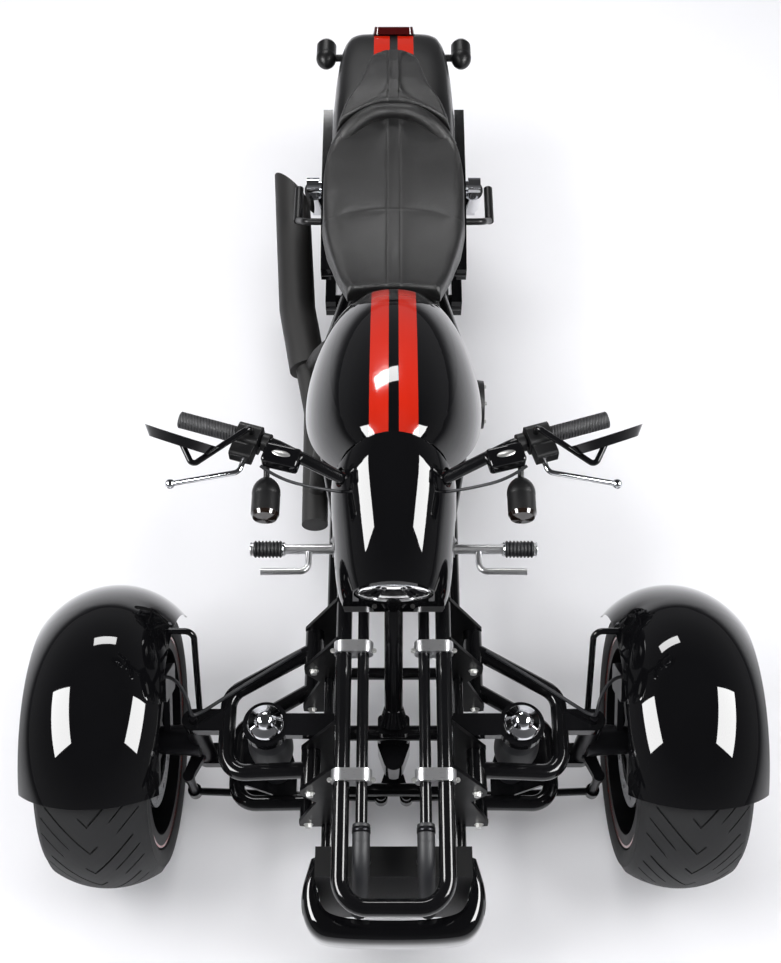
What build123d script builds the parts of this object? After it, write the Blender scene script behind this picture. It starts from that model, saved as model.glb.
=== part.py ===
from build123d import *
from math import asin, atan2, cos, degrees, radians, sin, sqrt, tan
import os

# Motorized trike: two steered wheels in front on double arms, one driven wheel behind.
# Millimetres. Forward is -Y, the rider's left is +X, +Z is up, the floor is Z = 0.

# Driving dimensions: stance and wheels
TYRE_DIA = 649
TYRE_WIDTH = 240
RIM_WIDTH = 222
BEAD_DIA = 457
FLANGE_DIA = 478
FLANGE_WALL = 10
BARREL_WALL = 19
WHEELBASE = 1643
FRONT_AXLE_Y = -768
TRACK_HALF = 632
AXLE_Z = TYRE_DIA / 2
REAR_AXLE_Y = FRONT_AXLE_Y + WHEELBASE
SEAT_GAP = 0.3

# Wheel inside
HUB_R = 46
HUB_IN = 98
HUB_OUT = 78
SPOKE_COUNT = 10
SPOKE_WIDTH = 24
SPOKE_DEPTH = 30
SPOKE_FACE = 70
SPINDLE_R = 17
SPINDLE_OUT = 50
DISC_DIA = 300
DISC_INNER_DIA = 214
DISC_WALL = 6
DISC_PLANE = -90
DISC_ARMS = 5
DISC_ARM_WIDTH = 22
DISC_HOLES = 10
DISC_HOLE_R = 6

# Final drive
BELT_X = 128
BELT_WIDTH = 20
BELT_WALL = 7
PULLEY_R = 104
SPROCKET_R = 44
SPROCKET_Y = 318
SPROCKET_Z = 345

# Front frame
RAIL_R = 17
RAIL_X = 105.5
RAIL_Z = 630
RAIL_REAR_Y = -400
LOOP_FRONT_Y = -1205
LOOP_BEND = 55
LOWER_RAIL_R = 16
LOWER_RAIL_X = 150
LOWER_RAIL_Z = 215
LOWER_RAIL_FRONT_Y = -1070
LOWER_RAIL_REAR_Y = -230
CROSS_R = 15
REAR_CROSS_Y = -564
FRONT_CROSS_Y = -851
BRACKET_WALL = 8

# Arm pivots on the frame and ball joints on the knuckles
UPPER_PIVOT_X = 178
UPPER_PIVOT_Z = 470
LOWER_PIVOT_X = 195
LOWER_PIVOT_Z = 225
REAR_BARREL_Y = -607
FRONT_BARREL_Y = -884
BARREL_LENGTH = 84
BARREL_R = 21
ARM_R = 18
ARM_BEND = 48
UPPER_ARM_Z = 445
LOWER_ARM_Z = 215
KINGPIN_INSET = 192
ARM_LUG = 74
KINGPIN_X = TRACK_HALF - KINGPIN_INSET
ARM_OUTER_X = KINGPIN_X - ARM_LUG
BALL_BOSS_R = 25
BALL_BOSS_HEIGHT = 30
STUD_R = 9

# Air springs between the lower arms and the frame
SPRING_INSET = 94
SPRING_X = ARM_OUTER_X - SPRING_INSET
SPRING_Y = -808
SPRING_R = 49
SPRING_TOP_Z = 521
ARM_PLATE_TOP = 12

# Steering
STEER_RAKE = 37.6
COLUMN_FOOT = (0, -770, 450)
COLUMN_R = 20
COLUMN_LENGTH = 465
HEAD_R = 33
HEAD_LENGTH = 110
PITMAN_Y = -785
ARM_EYE_X = 30
ARM_EYE_Y = -70
TIE_ROD_Z = 160
TIE_ROD_R = 9
EYE_R = 16
EYE_HEIGHT = 24

# Front fenders
FENDER_R = 354
FENDER_EDGE_R = 285
FENDER_HALF = 146
FENDER_WALL = 5
FENDER_FRONT_DEG = 42
FENDER_REAR_DEG = 78

SIDES = (("left", 1), ("right", -1))  # name, sign of X

os.makedirs("parts", exist_ok=True)

bead_r = BEAD_DIA / 2
flange_r = FLANGE_DIA / 2
tyre_half = TYRE_WIDTH / 2
rim_half = RIM_WIDTH / 2
bead_half = rim_half - FLANGE_WALL
crown_half = tyre_half - 12
shoulder_r = AXLE_Z - 31

WHEELS = (  # name, hub x, hub y, sign of the outboard side
    ("front_left", TRACK_HALF, FRONT_AXLE_Y, 1),
    ("front_right", -TRACK_HALF, FRONT_AXLE_Y, -1),
    ("rear", 0, REAR_AXLE_Y, 1),
)

# Wheels: each tyre is one turned section with a round crown
for name, hub_x, hub_y, out in WHEELS:
    hub = Vector(hub_x, hub_y, AXLE_Z)
    axle = Axis(hub, (1, 0, 0))
    section = Plane(origin=hub, x_dir=(out, 0, 0), z_dir=(0, -out, 0))
    with BuildPart() as tyre:
        with BuildSketch(section):
            with BuildLine():
                Line((-bead_half, bead_r + SEAT_GAP), (bead_half, bead_r + SEAT_GAP))
                Polyline(
                    (bead_half, bead_r + SEAT_GAP),
                    (bead_half, flange_r + 3),
                    (rim_half + 2, flange_r + 4),
                )
                ThreePointArc(
                    (rim_half + 2, flange_r + 4),
                    (tyre_half, (flange_r + shoulder_r) / 2),
                    (crown_half, shoulder_r),
                )
                ThreePointArc((crown_half, shoulder_r), (0, AXLE_Z), (-crown_half, shoulder_r))
                ThreePointArc(
                    (-crown_half, shoulder_r),
                    (-tyre_half, (flange_r + shoulder_r) / 2),
                    (-rim_half - 2, flange_r + 4),
                )
                Polyline(
                    (-rim_half - 2, flange_r + 4),
                    (-bead_half, flange_r + 3),
                    (-bead_half, bead_r + SEAT_GAP),
                )
            make_face()
        revolve(axis=axle)
    tyre.part.label = "tyre_" + name
    export_step(tyre.part, f"parts/tyre_{name}.step")

    # Rim, hub, flat spokes and the brake disc on its arms
    with BuildPart() as wheel:
        with BuildSketch(section):
            with BuildLine():
                Polyline(
                    (-rim_half, bead_r - BARREL_WALL),
                    (-rim_half, flange_r),
                    (-bead_half - SEAT_GAP, flange_r),
                    (-bead_half - SEAT_GAP, bead_r),
                    (bead_half + SEAT_GAP, bead_r),
                    (bead_half + SEAT_GAP, flange_r),
                    (rim_half, flange_r),
                    (rim_half, bead_r - BARREL_WALL),
                    close=True,
                )
            make_face()
            with BuildLine():
                Polyline((-HUB_IN, 0), (-HUB_IN, HUB_R), (HUB_OUT - 12, HUB_R), (HUB_OUT, HUB_R - 14), (HUB_OUT, 0), close=True)
            make_face()
        revolve(axis=axle)
        spoke_length = bead_r - BARREL_WALL - HUB_R + 12
        face = Plane(origin=hub + Vector(out * SPOKE_FACE, 0, 0), x_dir=(0, 1, 0), z_dir=(out, 0, 0))
        with BuildSketch(face):
            with PolarLocations(HUB_R - 6 + spoke_length / 2, SPOKE_COUNT):
                Rectangle(spoke_length, SPOKE_WIDTH)
        extrude(amount=-SPOKE_DEPTH)
        disc_face = Plane(origin=hub + Vector(out * DISC_PLANE, 0, 0), x_dir=(0, 1, 0), z_dir=(out, 0, 0))
        disc_arm = (DISC_INNER_DIA + DISC_DIA) / 4 - HUB_R + 6
        with BuildSketch(disc_face):
            Circle(DISC_DIA / 2)
            Circle(DISC_INNER_DIA / 2, mode=Mode.SUBTRACT)
            with PolarLocations((DISC_INNER_DIA + DISC_DIA) / 4, DISC_HOLES, start_angle=18):
                Circle(DISC_HOLE_R, mode=Mode.SUBTRACT)
            with PolarLocations(HUB_R - 6 + disc_arm / 2, DISC_ARMS):
                Rectangle(disc_arm, DISC_ARM_WIDTH)
        extrude(amount=-DISC_WALL)
        if name == "rear":
            with BuildSketch(Plane(origin=hub, x_dir=(0, 1, 0), z_dir=(1, 0, 0))):
                Circle(HUB_R - 8)
            extrude(amount=BELT_X + BELT_WIDTH)
            with BuildSketch(Plane(origin=hub + Vector(BELT_X, 0, 0), x_dir=(0, 1, 0), z_dir=(1, 0, 0))):
                Circle(PULLEY_R)
            extrude(amount=BELT_WIDTH)
        bore_r = SPINDLE_R + SEAT_GAP
        with BuildSketch(Plane(origin=hub + Vector(-out * HUB_IN, 0, 0), x_dir=(0, 1, 0), z_dir=(out, 0, 0))):
            Circle(bore_r)
        extrude(amount=HUB_IN + (BELT_X + BELT_WIDTH if name == "rear" else SPINDLE_OUT + SEAT_GAP), mode=Mode.SUBTRACT)
    wheel.part.label = "wheel_" + name
    export_step(wheel.part, f"parts/wheel_{name}.step")

# Front frame: upper rails bent round the front as one loop
with BuildPart() as upper_rails:
    with BuildLine() as path:
        FilletPolyline(
            (RAIL_X, RAIL_REAR_Y, RAIL_Z),
            (RAIL_X, LOOP_FRONT_Y, RAIL_Z),
            (-RAIL_X, LOOP_FRONT_Y, RAIL_Z),
            (-RAIL_X, RAIL_REAR_Y, RAIL_Z),
            radius=LOOP_BEND,
        )
    with BuildSketch(Plane(origin=path.line @ 0, z_dir=path.line % 0)):
        Circle(RAIL_R)
    sweep()
upper_rails.part.label = "upper_rails"
export_step(upper_rails.part, "parts/upper_rails.step")

# Lower rails with their two cross tubes
with BuildPart() as lower_rails:
    for x in (LOWER_RAIL_X, -LOWER_RAIL_X):
        with BuildSketch(Plane(origin=(x, LOWER_RAIL_REAR_Y, LOWER_RAIL_Z), z_dir=(0, -1, 0))):
            Circle(LOWER_RAIL_R)
        extrude(amount=LOWER_RAIL_REAR_Y - LOWER_RAIL_FRONT_Y)
    for y in (REAR_CROSS_Y, FRONT_CROSS_Y):
        with BuildSketch(Plane(origin=(-LOWER_RAIL_X, y, LOWER_RAIL_Z), z_dir=(1, 0, 0))):
            Circle(CROSS_R)
        extrude(amount=2 * LOWER_RAIL_X)
lower_rails.part.label = "lower_rails"
export_step(lower_rails.part, "parts/lower_rails.step")

# Bracket plates tie upper to lower rails and carry the arm barrels between each pair
bracket_ys = [
    barrel + end * (BARREL_LENGTH / 2 + SEAT_GAP)
    for barrel in (REAR_BARREL_Y, FRONT_BARREL_Y)
    for end in (1, -1)
]
with BuildPart() as arm_brackets:
    for y in bracket_ys:
        outward = -1 if y in (bracket_ys[1], bracket_ys[3]) else 1
        for _, side in SIDES:
            with BuildSketch(Plane(origin=(0, y, 0), x_dir=(side, 0, 0), z_dir=(0, -side, 0))):
                with BuildLine():
                    Polyline(
                        (RAIL_X - 14, RAIL_Z - RAIL_R - 16),
                        (RAIL_X - 6, RAIL_Z + RAIL_R - 6),
                        (RAIL_X + 16, RAIL_Z + RAIL_R - 6),
                        (UPPER_PIVOT_X + BARREL_R, UPPER_PIVOT_Z + 12),
                        (UPPER_PIVOT_X + BARREL_R, UPPER_PIVOT_Z - 18),
                        (UPPER_PIVOT_X - 10, UPPER_PIVOT_Z - BARREL_R - 50),
                        (LOWER_PIVOT_X + BARREL_R, LOWER_PIVOT_Z + 14),
                        (LOWER_PIVOT_X + BARREL_R, LOWER_PIVOT_Z - 16),
                        (LOWER_PIVOT_X, LOWER_PIVOT_Z - BARREL_R),
                        (LOWER_RAIL_X - 6, LOWER_RAIL_Z - 10),
                        (LOWER_RAIL_X - 6, LOWER_RAIL_Z + LOWER_RAIL_R + 20),
                        close=True,
                    )
                make_face()
                with Locations((RAIL_X, RAIL_Z)):
                    Circle(RAIL_R + SEAT_GAP, mode=Mode.SUBTRACT)
                with Locations((LOWER_RAIL_X, LOWER_RAIL_Z)):
                    Circle(LOWER_RAIL_R + SEAT_GAP, mode=Mode.SUBTRACT)
            extrude(amount=-side * outward * BRACKET_WALL)
arm_brackets.part.label = "arm_brackets"
export_step(arm_brackets.part, "parts/arm_brackets.step")

# Arms: a bent tube between two barrels, and a lug with the ball joint's boss
ARMS = (  # name, pivot x, pivot z, outer z
    ("upper_arms", UPPER_PIVOT_X, UPPER_PIVOT_Z, UPPER_ARM_Z),
    ("lower_arms", LOWER_PIVOT_X, LOWER_PIVOT_Z, LOWER_ARM_Z),
)
for name, pivot_x, pivot_z, outer_z in ARMS:
    with BuildPart() as arms:
        for _, side in SIDES:
            with BuildLine() as path:
                FilletPolyline(
                    (side * pivot_x, REAR_BARREL_Y, pivot_z),
                    (side * ARM_OUTER_X, FRONT_AXLE_Y + 62, outer_z),
                    (side * ARM_OUTER_X, FRONT_BARREL_Y, outer_z),
                    (side * pivot_x, FRONT_BARREL_Y, pivot_z),
                    radius=ARM_BEND,
                )
            with BuildSketch(Plane(origin=path.line @ 0, z_dir=path.line % 0)):
                Circle(ARM_R)
            sweep()
            for barrel_y in (REAR_BARREL_Y, FRONT_BARREL_Y):
                start = Plane(origin=(side * pivot_x, barrel_y + BARREL_LENGTH / 2, pivot_z), z_dir=(0, -1, 0))
                with BuildSketch(start):
                    Circle(BARREL_R)
                extrude(amount=BARREL_LENGTH)
            # Lug from the tube out to the ball joint
            with BuildSketch(Plane.XY.offset(outer_z - BALL_BOSS_HEIGHT / 2)):
                with Locations((side * (ARM_OUTER_X + KINGPIN_X) / 2, FRONT_AXLE_Y)):
                    Rectangle(KINGPIN_X - ARM_OUTER_X, 2 * BALL_BOSS_R)
                with Locations((side * KINGPIN_X, FRONT_AXLE_Y)):
                    Circle(BALL_BOSS_R)
            extrude(amount=BALL_BOSS_HEIGHT)
            if name == "lower_arms":
                with BuildSketch(Plane.XY.offset(outer_z)):
                    with BuildLine():
                        Polyline(
                            (side * (pivot_x + 30), FRONT_BARREL_Y),
                            (side * ARM_OUTER_X, FRONT_BARREL_Y + ARM_BEND),
                            (side * ARM_OUTER_X, FRONT_AXLE_Y + 40),
                            (side * (SPRING_X - 20), FRONT_AXLE_Y + 40),
                            (side * (pivot_x + 30), SPRING_Y),
                            close=True,
                        )
                    make_face()
                extrude(amount=ARM_PLATE_TOP)
            with Locations((side * KINGPIN_X, FRONT_AXLE_Y, outer_z)):
                Cylinder(STUD_R + SEAT_GAP, 2 * BALL_BOSS_HEIGHT, mode=Mode.SUBTRACT)
    arms.part.label = name
    export_step(arms.part, f"parts/{name}.step")

# Knuckles turn on the two ball joints and carry the spindle, steering arm and caliper
upper_face = UPPER_ARM_Z - BALL_BOSS_HEIGHT / 2
lower_face = LOWER_ARM_Z + BALL_BOSS_HEIGHT / 2
eye_top = TIE_ROD_Z + EYE_HEIGHT / 2
STEER_ARM_Z = 262
KNUCKLE_R = 23
CALIPER_DEG = 52
for side_name, side in SIDES:
    kingpin = Vector(side * KINGPIN_X, FRONT_AXLE_Y, 0)
    eye = kingpin + Vector(side * ARM_EYE_X, ARM_EYE_Y, 0)
    with BuildPart() as knuckle:
        # Caliper bracket and the caliper, a block open over the disc
        disc_x = TRACK_HALF + DISC_PLANE - DISC_WALL / 2
        caliper_plane = Plane(
            origin=(side * disc_x, FRONT_AXLE_Y, AXLE_Z),
            x_dir=(0, sin(radians(CALIPER_DEG)), cos(radians(CALIPER_DEG))),
            z_dir=(side, 0, 0),
        )
        with BuildSketch(caliper_plane.offset(-32)):
            with Locations((DISC_DIA / 2 - 14, 0)):
                RectangleRounded(62, 122, 14)
        extrude(amount=54)
        with BuildSketch(caliper_plane.offset(-DISC_WALL / 2 - 5)):
            Circle(DISC_DIA / 2 + 5)
        extrude(amount=DISC_WALL + 10, mode=Mode.SUBTRACT)
        with BuildSketch(caliper_plane.offset(-32)):
            with Locations((DISC_DIA / 4 - 20, 0)):
                Rectangle(DISC_DIA / 2 - 40, 34)
        extrude(amount=14)
        with BuildSketch(Plane.XY.offset(lower_face + SEAT_GAP)):
            with Locations((kingpin.X, kingpin.Y)):
                Circle(KNUCKLE_R)
        extrude(amount=upper_face - lower_face - 2 * SEAT_GAP)
        with BuildSketch(Plane.XY.offset(LOWER_ARM_Z - BALL_BOSS_HEIGHT / 2 - 8)):
            with Locations((kingpin.X, kingpin.Y)):
                Circle(STUD_R)
        extrude(amount=UPPER_ARM_Z - LOWER_ARM_Z + BALL_BOSS_HEIGHT + 20)
        # Spindle: a stout boss out of the upright, then the shaft in the hub
        boss_length = TRACK_HALF - HUB_IN - KINGPIN_X - 2
        with BuildSketch(Plane(origin=(kingpin.X, FRONT_AXLE_Y, AXLE_Z), z_dir=(side, 0, 0))):
            Circle(38)
        extrude(amount=boss_length, taper=4)
        with BuildSketch(Plane(origin=(kingpin.X, FRONT_AXLE_Y, AXLE_Z), z_dir=(side, 0, 0))):
            Circle(SPINDLE_R)
        extrude(amount=TRACK_HALF + SPINDLE_OUT - KINGPIN_X)
        # Steering arm forward and down to the tie rod's eye
        with BuildSketch(Plane.XY.offset(STEER_ARM_Z)):
            with BuildLine():
                Polyline(
                    (kingpin.X - side * 16, kingpin.Y),
                    (kingpin.X + side * 20, kingpin.Y),
                    (eye.X + side * 12, eye.Y),
                    (eye.X - side * 12, eye.Y),
                    close=True,
                )
            make_face()
            with Locations((eye.X, eye.Y)):
                Circle(13)
        extrude(amount=20)
        with BuildSketch(Plane.XY.offset(eye_top + SEAT_GAP)):
            with Locations((eye.X, eye.Y)):
                Circle(10)
        extrude(amount=STEER_ARM_Z + 10 - eye_top)
    knuckle.part.label = "knuckle_" + side_name
    export_step(knuckle.part, f"parts/knuckle_{side_name}.step")

# Pitman arm hangs on the steering gear's shaft and pulls both tie rods
GEAR_BOTTOM_Z = 300
GEAR_TOP_Z = 455
PITMAN_SHAFT_R = 16
PITMAN_WALL = 18
pitman = Vector(0, PITMAN_Y, 0)
with BuildPart() as pitman_arm:
    with BuildSketch(Plane.XY.offset(eye_top + SEAT_GAP)):
        with BuildLine():
            Polyline(
                (-PITMAN_SHAFT_R, PITMAN_Y),
                (PITMAN_SHAFT_R, PITMAN_Y),
                (ARM_EYE_X + 8, PITMAN_Y + ARM_EYE_Y),
                (-ARM_EYE_X - 8, PITMAN_Y + ARM_EYE_Y),
                close=True,
            )
        make_face()
        for eye_x in (-ARM_EYE_X, ARM_EYE_X):
            with Locations((eye_x, PITMAN_Y + ARM_EYE_Y)):
                Circle(EYE_R - 3)
    extrude(amount=PITMAN_WALL)
    with BuildSketch(Plane.XY.offset(eye_top + SEAT_GAP)):
        with Locations((0, PITMAN_Y)):
            Circle(PITMAN_SHAFT_R)
    extrude(amount=GEAR_BOTTOM_Z - eye_top - 2 * SEAT_GAP)
pitman_arm.part.label = "pitman_arm"
export_step(pitman_arm.part, "parts/pitman_arm.step")

for side_name, side in SIDES:
    inner_eye = Vector(side * ARM_EYE_X, PITMAN_Y + ARM_EYE_Y, TIE_ROD_Z)
    outer_eye = Vector(side * (KINGPIN_X + ARM_EYE_X), FRONT_AXLE_Y + ARM_EYE_Y, TIE_ROD_Z)
    with BuildPart() as tie_rod:
        with BuildSketch(Plane(origin=inner_eye, z_dir=outer_eye - inner_eye)):
            Circle(TIE_ROD_R)
        extrude(amount=(outer_eye - inner_eye).length)
        with Locations(inner_eye, outer_eye):
            Cylinder(EYE_R, EYE_HEIGHT)
    tie_rod.part.label = "tie_rod_" + side_name
    export_step(tie_rod.part, f"parts/tie_rod_{side_name}.step")

# Steering gear: tapered box on a cross beam, and the raked column up to the head
rake = radians(STEER_RAKE)
steer_up = Vector(0, sin(rake), cos(rake))
foot = Vector(*COLUMN_FOOT)
head_start = COLUMN_LENGTH - HEAD_LENGTH
BEAM_Z = 420
BEAM_R = 17
BEAM_HALF = 145
TIE_BAR_R = 11
plate_rear = bracket_ys[1] - BRACKET_WALL
plate_front = bracket_ys[2] + BRACKET_WALL
with BuildPart() as steering_gear:
    with BuildSketch(Plane.XY.offset(GEAR_BOTTOM_Z)):
        with BuildLine():
            Polyline((-36, PITMAN_Y + 30), (-36, PITMAN_Y - 12), (-22, PITMAN_Y - 52))
            ThreePointArc((-22, PITMAN_Y - 52), (0, PITMAN_Y - 68), (22, PITMAN_Y - 52))
            Polyline((22, PITMAN_Y - 52), (36, PITMAN_Y - 12), (36, PITMAN_Y + 30), (-36, PITMAN_Y + 30))
        make_face()
    extrude(amount=70)
    with BuildSketch(Plane.XY.offset(GEAR_BOTTOM_Z)):
        with Locations((0, PITMAN_Y + 8)):
            RectangleRounded(70, 44, 10)
    extrude(amount=GEAR_TOP_Z - GEAR_BOTTOM_Z)
    with BuildSketch(Plane(origin=(-BEAM_HALF, PITMAN_Y, BEAM_Z), z_dir=(1, 0, 0))):
        Circle(BEAM_R)
    extrude(amount=2 * BEAM_HALF)
    for _, side in SIDES:
        with BuildSketch(Plane(origin=(side * BEAM_HALF, plate_rear - SEAT_GAP, BEAM_Z), z_dir=(0, -1, 0))):
            Circle(TIE_BAR_R)
        extrude(amount=plate_rear - plate_front - 2 * SEAT_GAP)
    with BuildSketch(Plane(origin=foot, x_dir=(1, 0, 0), z_dir=steer_up)):
        Circle(COLUMN_R)
    extrude(amount=head_start - SEAT_GAP)
    with BuildSketch(Plane(origin=foot, x_dir=(1, 0, 0), z_dir=steer_up)):
        Circle(COLUMN_R + 12)
    extrude(amount=36, taper=16)
steering_gear.part.label = "steering_gear"
export_step(steering_gear.part, "parts/steering_gear.step")

# Front fenders: a domed strip turned about the axle, with the stay to the knuckle
for side_name, side in SIDES:
    hub = Vector(side * TRACK_HALF, FRONT_AXLE_Y, AXLE_Z)
    rear = radians(FENDER_REAR_DEG)
    rear_plane = Plane(origin=hub, x_dir=(1, 0, 0), z_dir=(0, -cos(rear), sin(rear)))
    with BuildPart() as fender:
        with BuildSketch(rear_plane):
            with BuildLine():
                ThreePointArc((-FENDER_HALF, FENDER_EDGE_R), (0, FENDER_R), (FENDER_HALF, FENDER_EDGE_R))
                Line((FENDER_HALF, FENDER_EDGE_R), (FENDER_HALF - FENDER_WALL, FENDER_EDGE_R))
                ThreePointArc(
                    (FENDER_HALF - FENDER_WALL, FENDER_EDGE_R),
                    (0, FENDER_R - FENDER_WALL),
                    (FENDER_WALL - FENDER_HALF, FENDER_EDGE_R),
                )
                Line((FENDER_WALL - FENDER_HALF, FENDER_EDGE_R), (-FENDER_HALF, FENDER_EDGE_R))
            make_face()
        revolve(axis=Axis(hub, (1, 0, 0)), revolution_arc=FENDER_FRONT_DEG + FENDER_REAR_DEG)
        stay_deg = radians(34)
        stay_y = FRONT_AXLE_Y + (FENDER_EDGE_R + 8) * sin(stay_deg)
        stay_z = AXLE_Z + (FENDER_EDGE_R + 8) * cos(stay_deg)
        inner_x = TRACK_HALF - FENDER_HALF + FENDER_WALL
        with BuildLine() as path:
            FilletPolyline(
                (side * (KINGPIN_X - 2), FRONT_AXLE_Y + KNUCKLE_R + 6, upper_face - 60),
                (side * (KINGPIN_X - 2), stay_y, stay_z),
                (side * (inner_x + 1), stay_y, stay_z),
                radius=20,
            )
        with BuildSketch(Plane(origin=path.line @ 0, z_dir=path.line % 0)):
            Circle(7)
        sweep()
    fender.part.label = "fender_front_" + side_name
    export_step(fender.part, f"parts/fender_front_{side_name}.step")

# Air springs stand on the lower arms and hold up the frame by a short mount arm
spring_base = LOWER_ARM_Z + ARM_PLATE_TOP + SEAT_GAP
with BuildPart() as air_springs:
    for _, side in SIDES:
        with BuildSketch(Plane(origin=(side * SPRING_X, SPRING_Y, 0), x_dir=(1, 0, 0), z_dir=(0, -1, 0))):
            with BuildLine():
                Polyline((0, spring_base), (34, spring_base), (30, spring_base + 90), (SPRING_R - 6, spring_base + 120))
                ThreePointArc(
                    (SPRING_R - 6, spring_base + 120),
                    (SPRING_R, spring_base + 165),
                    (SPRING_R - 6, SPRING_TOP_Z - 60),
                )
                Polyline((SPRING_R - 6, SPRING_TOP_Z - 60), (26, SPRING_TOP_Z - 14), (26, SPRING_TOP_Z), (0, SPRING_TOP_Z), (0, spring_base))
            make_face()
        revolve(axis=Axis((side * SPRING_X, SPRING_Y, 0), (0, 0, 1)))
air_springs.part.label = "air_springs"
export_step(air_springs.part, "parts/air_springs.step")

MOUNT_ARM_IN = 112
MOUNT_ARM_ROOT = 160
MOUNT_ARM_WALL = 24
MOUNT_ARM_HALF = 24
CAP_R = 38
CAP_HEIGHT = 16
KNOB_R = 20
KNOB_HEIGHT = 14
with BuildPart() as spring_mounts:
    for _, side in SIDES:
        with BuildSketch(Plane.XY.offset(SPRING_TOP_Z + SEAT_GAP)):
            with BuildLine():
                Polyline(
                    (side * MOUNT_ARM_IN, plate_front + SEAT_GAP),
                    (side * MOUNT_ARM_ROOT, plate_front + SEAT_GAP),
                    (side * SPRING_X, SPRING_Y - MOUNT_ARM_HALF),
                    (side * SPRING_X, SPRING_Y + MOUNT_ARM_HALF),
                    (side * MOUNT_ARM_IN, SPRING_Y + MOUNT_ARM_HALF),
                    close=True,
                )
            make_face()
            with Locations((side * SPRING_X, SPRING_Y)):
                Circle(SPRING_R)
        extrude(amount=MOUNT_ARM_WALL)
        # Domed cap and its adjuster knob
        cap_z = SPRING_TOP_Z + SEAT_GAP + MOUNT_ARM_WALL
        with BuildSketch(Plane.XY.offset(cap_z)):
            with Locations((side * SPRING_X, SPRING_Y)):
                Circle(CAP_R)
        extrude(amount=CAP_HEIGHT, taper=12)
        with BuildSketch(Plane.XY.offset(cap_z + CAP_HEIGHT)):
            with Locations((side * SPRING_X, SPRING_Y)):
                Circle(KNOB_R)
        extrude(amount=KNOB_HEIGHT)
spring_mounts.part.label = "spring_mounts"
export_step(spring_mounts.part, "parts/spring_mounts.step")

# Coolant pipes run inside the upper rails, held by polished bands, to the radiator hoses
PIPE_R = 12
PIPE_X = 64
PIPE_FRONT_Y = -1045
HOSE_R = 17
HOSE_DROP_Y = -1100
CLAMP_YS = (-672, -949)
CLAMP_WALL = 4
CLAMP_WIDTH = 26
RADIATOR_TOP_Z = 560
RADIATOR_BOTTOM_Z = 175
RADIATOR_HALF = 158
RADIATOR_DEPTH = 60
with BuildPart() as coolant_pipes:
    for _, side in SIDES:
        with BuildSketch(Plane(origin=(side * PIPE_X, RAIL_REAR_Y, RAIL_Z), z_dir=(0, -1, 0))):
            Circle(PIPE_R)
        extrude(amount=RAIL_REAR_Y - PIPE_FRONT_Y)
coolant_pipes.part.label = "coolant_pipes"
export_step(coolant_pipes.part, "parts/coolant_pipes.step")

with BuildPart() as radiator_hoses:
    for _, side in SIDES:
        with BuildLine() as path:
            FilletPolyline(
                (side * PIPE_X, PIPE_FRONT_Y - SEAT_GAP, RAIL_Z),
                (side * PIPE_X, HOSE_DROP_Y, RAIL_Z),
                (side * PIPE_X, HOSE_DROP_Y, RADIATOR_TOP_Z + SEAT_GAP),
                radius=34,
            )
        with BuildSketch(Plane(origin=path.line @ 0, z_dir=path.line % 0)):
            Circle(HOSE_R)
        sweep()
radiator_hoses.part.label = "radiator_hoses"
export_step(radiator_hoses.part, "parts/radiator_hoses.step")

with BuildPart() as pipe_clamps:
    for clamp_y in CLAMP_YS:
        for _, side in SIDES:
            with BuildSketch(Plane(origin=(0, clamp_y + CLAMP_WIDTH / 2, RAIL_Z), x_dir=(1, 0, 0), z_dir=(0, -1, 0))):
                with Locations((side * (RAIL_X + PIPE_X) / 2, 0)):
                    SlotOverall(RAIL_X - PIPE_X + 2 * (RAIL_R + CLAMP_WALL), 2 * (RAIL_R + CLAMP_WALL))
                with Locations((side * RAIL_X, 0)):
                    Circle(RAIL_R + SEAT_GAP, mode=Mode.SUBTRACT)
                with Locations((side * PIPE_X, 0)):
                    Circle(PIPE_R + SEAT_GAP, mode=Mode.SUBTRACT)
            extrude(amount=CLAMP_WIDTH)
pipe_clamps.part.label = "pipe_clamps"
export_step(pipe_clamps.part, "parts/pipe_clamps.step")

# Radiator behind an angular shroud that is open at the back and has a front intake
radiator_rear = LOWER_RAIL_FRONT_Y - SEAT_GAP
with BuildPart() as radiator:
    with BuildSketch(Plane.XY.offset(RADIATOR_BOTTOM_Z)):
        with Locations((0, radiator_rear - RADIATOR_DEPTH / 2)):
            Rectangle(2 * RADIATOR_HALF, RADIATOR_DEPTH)
    extrude(amount=RADIATOR_TOP_Z - RADIATOR_BOTTOM_Z)
radiator.part.label = "radiator"
export_step(radiator.part, "parts/radiator.step")

SHROUD_WALL = 8
SHROUD_REAR_Y = -1078
SHROUD_WIDE_Y = -1158
SHROUD_CORNER_Y = -1226
SHROUD_FRONT_Y = -1245
SHROUD_REAR_HALF = 172
SHROUD_WIDE_HALF = 194
SHROUD_CORNER_HALF = 172
SHROUD_FRONT_HALF = 120
SHROUD_TOP_Z = 505
SHROUD_LIP_Z = 425
SHROUD_BOTTOM_Z = 185
SHROUD_UNDERCUT = 68
SHROUD_TUCK = 14
INTAKE_ZS = (250, 300, 350, 400)
INTAKE_HALF = 95
INTAKE_HEIGHT = 30
rim = (
    (SHROUD_REAR_HALF, SHROUD_REAR_Y),
    (SHROUD_WIDE_HALF, SHROUD_WIDE_Y),
    (SHROUD_CORNER_HALF, SHROUD_CORNER_Y),
    (SHROUD_FRONT_HALF, SHROUD_FRONT_Y),
)
hem = (
    (SHROUD_REAR_HALF, SHROUD_REAR_Y),
    (SHROUD_WIDE_HALF - SHROUD_TUCK, SHROUD_WIDE_Y + SHROUD_UNDERCUT / 3),
    (SHROUD_CORNER_HALF - SHROUD_TUCK, SHROUD_CORNER_Y + SHROUD_UNDERCUT),
    (SHROUD_FRONT_HALF - SHROUD_TUCK, SHROUD_FRONT_Y + SHROUD_UNDERCUT),
)
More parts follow.
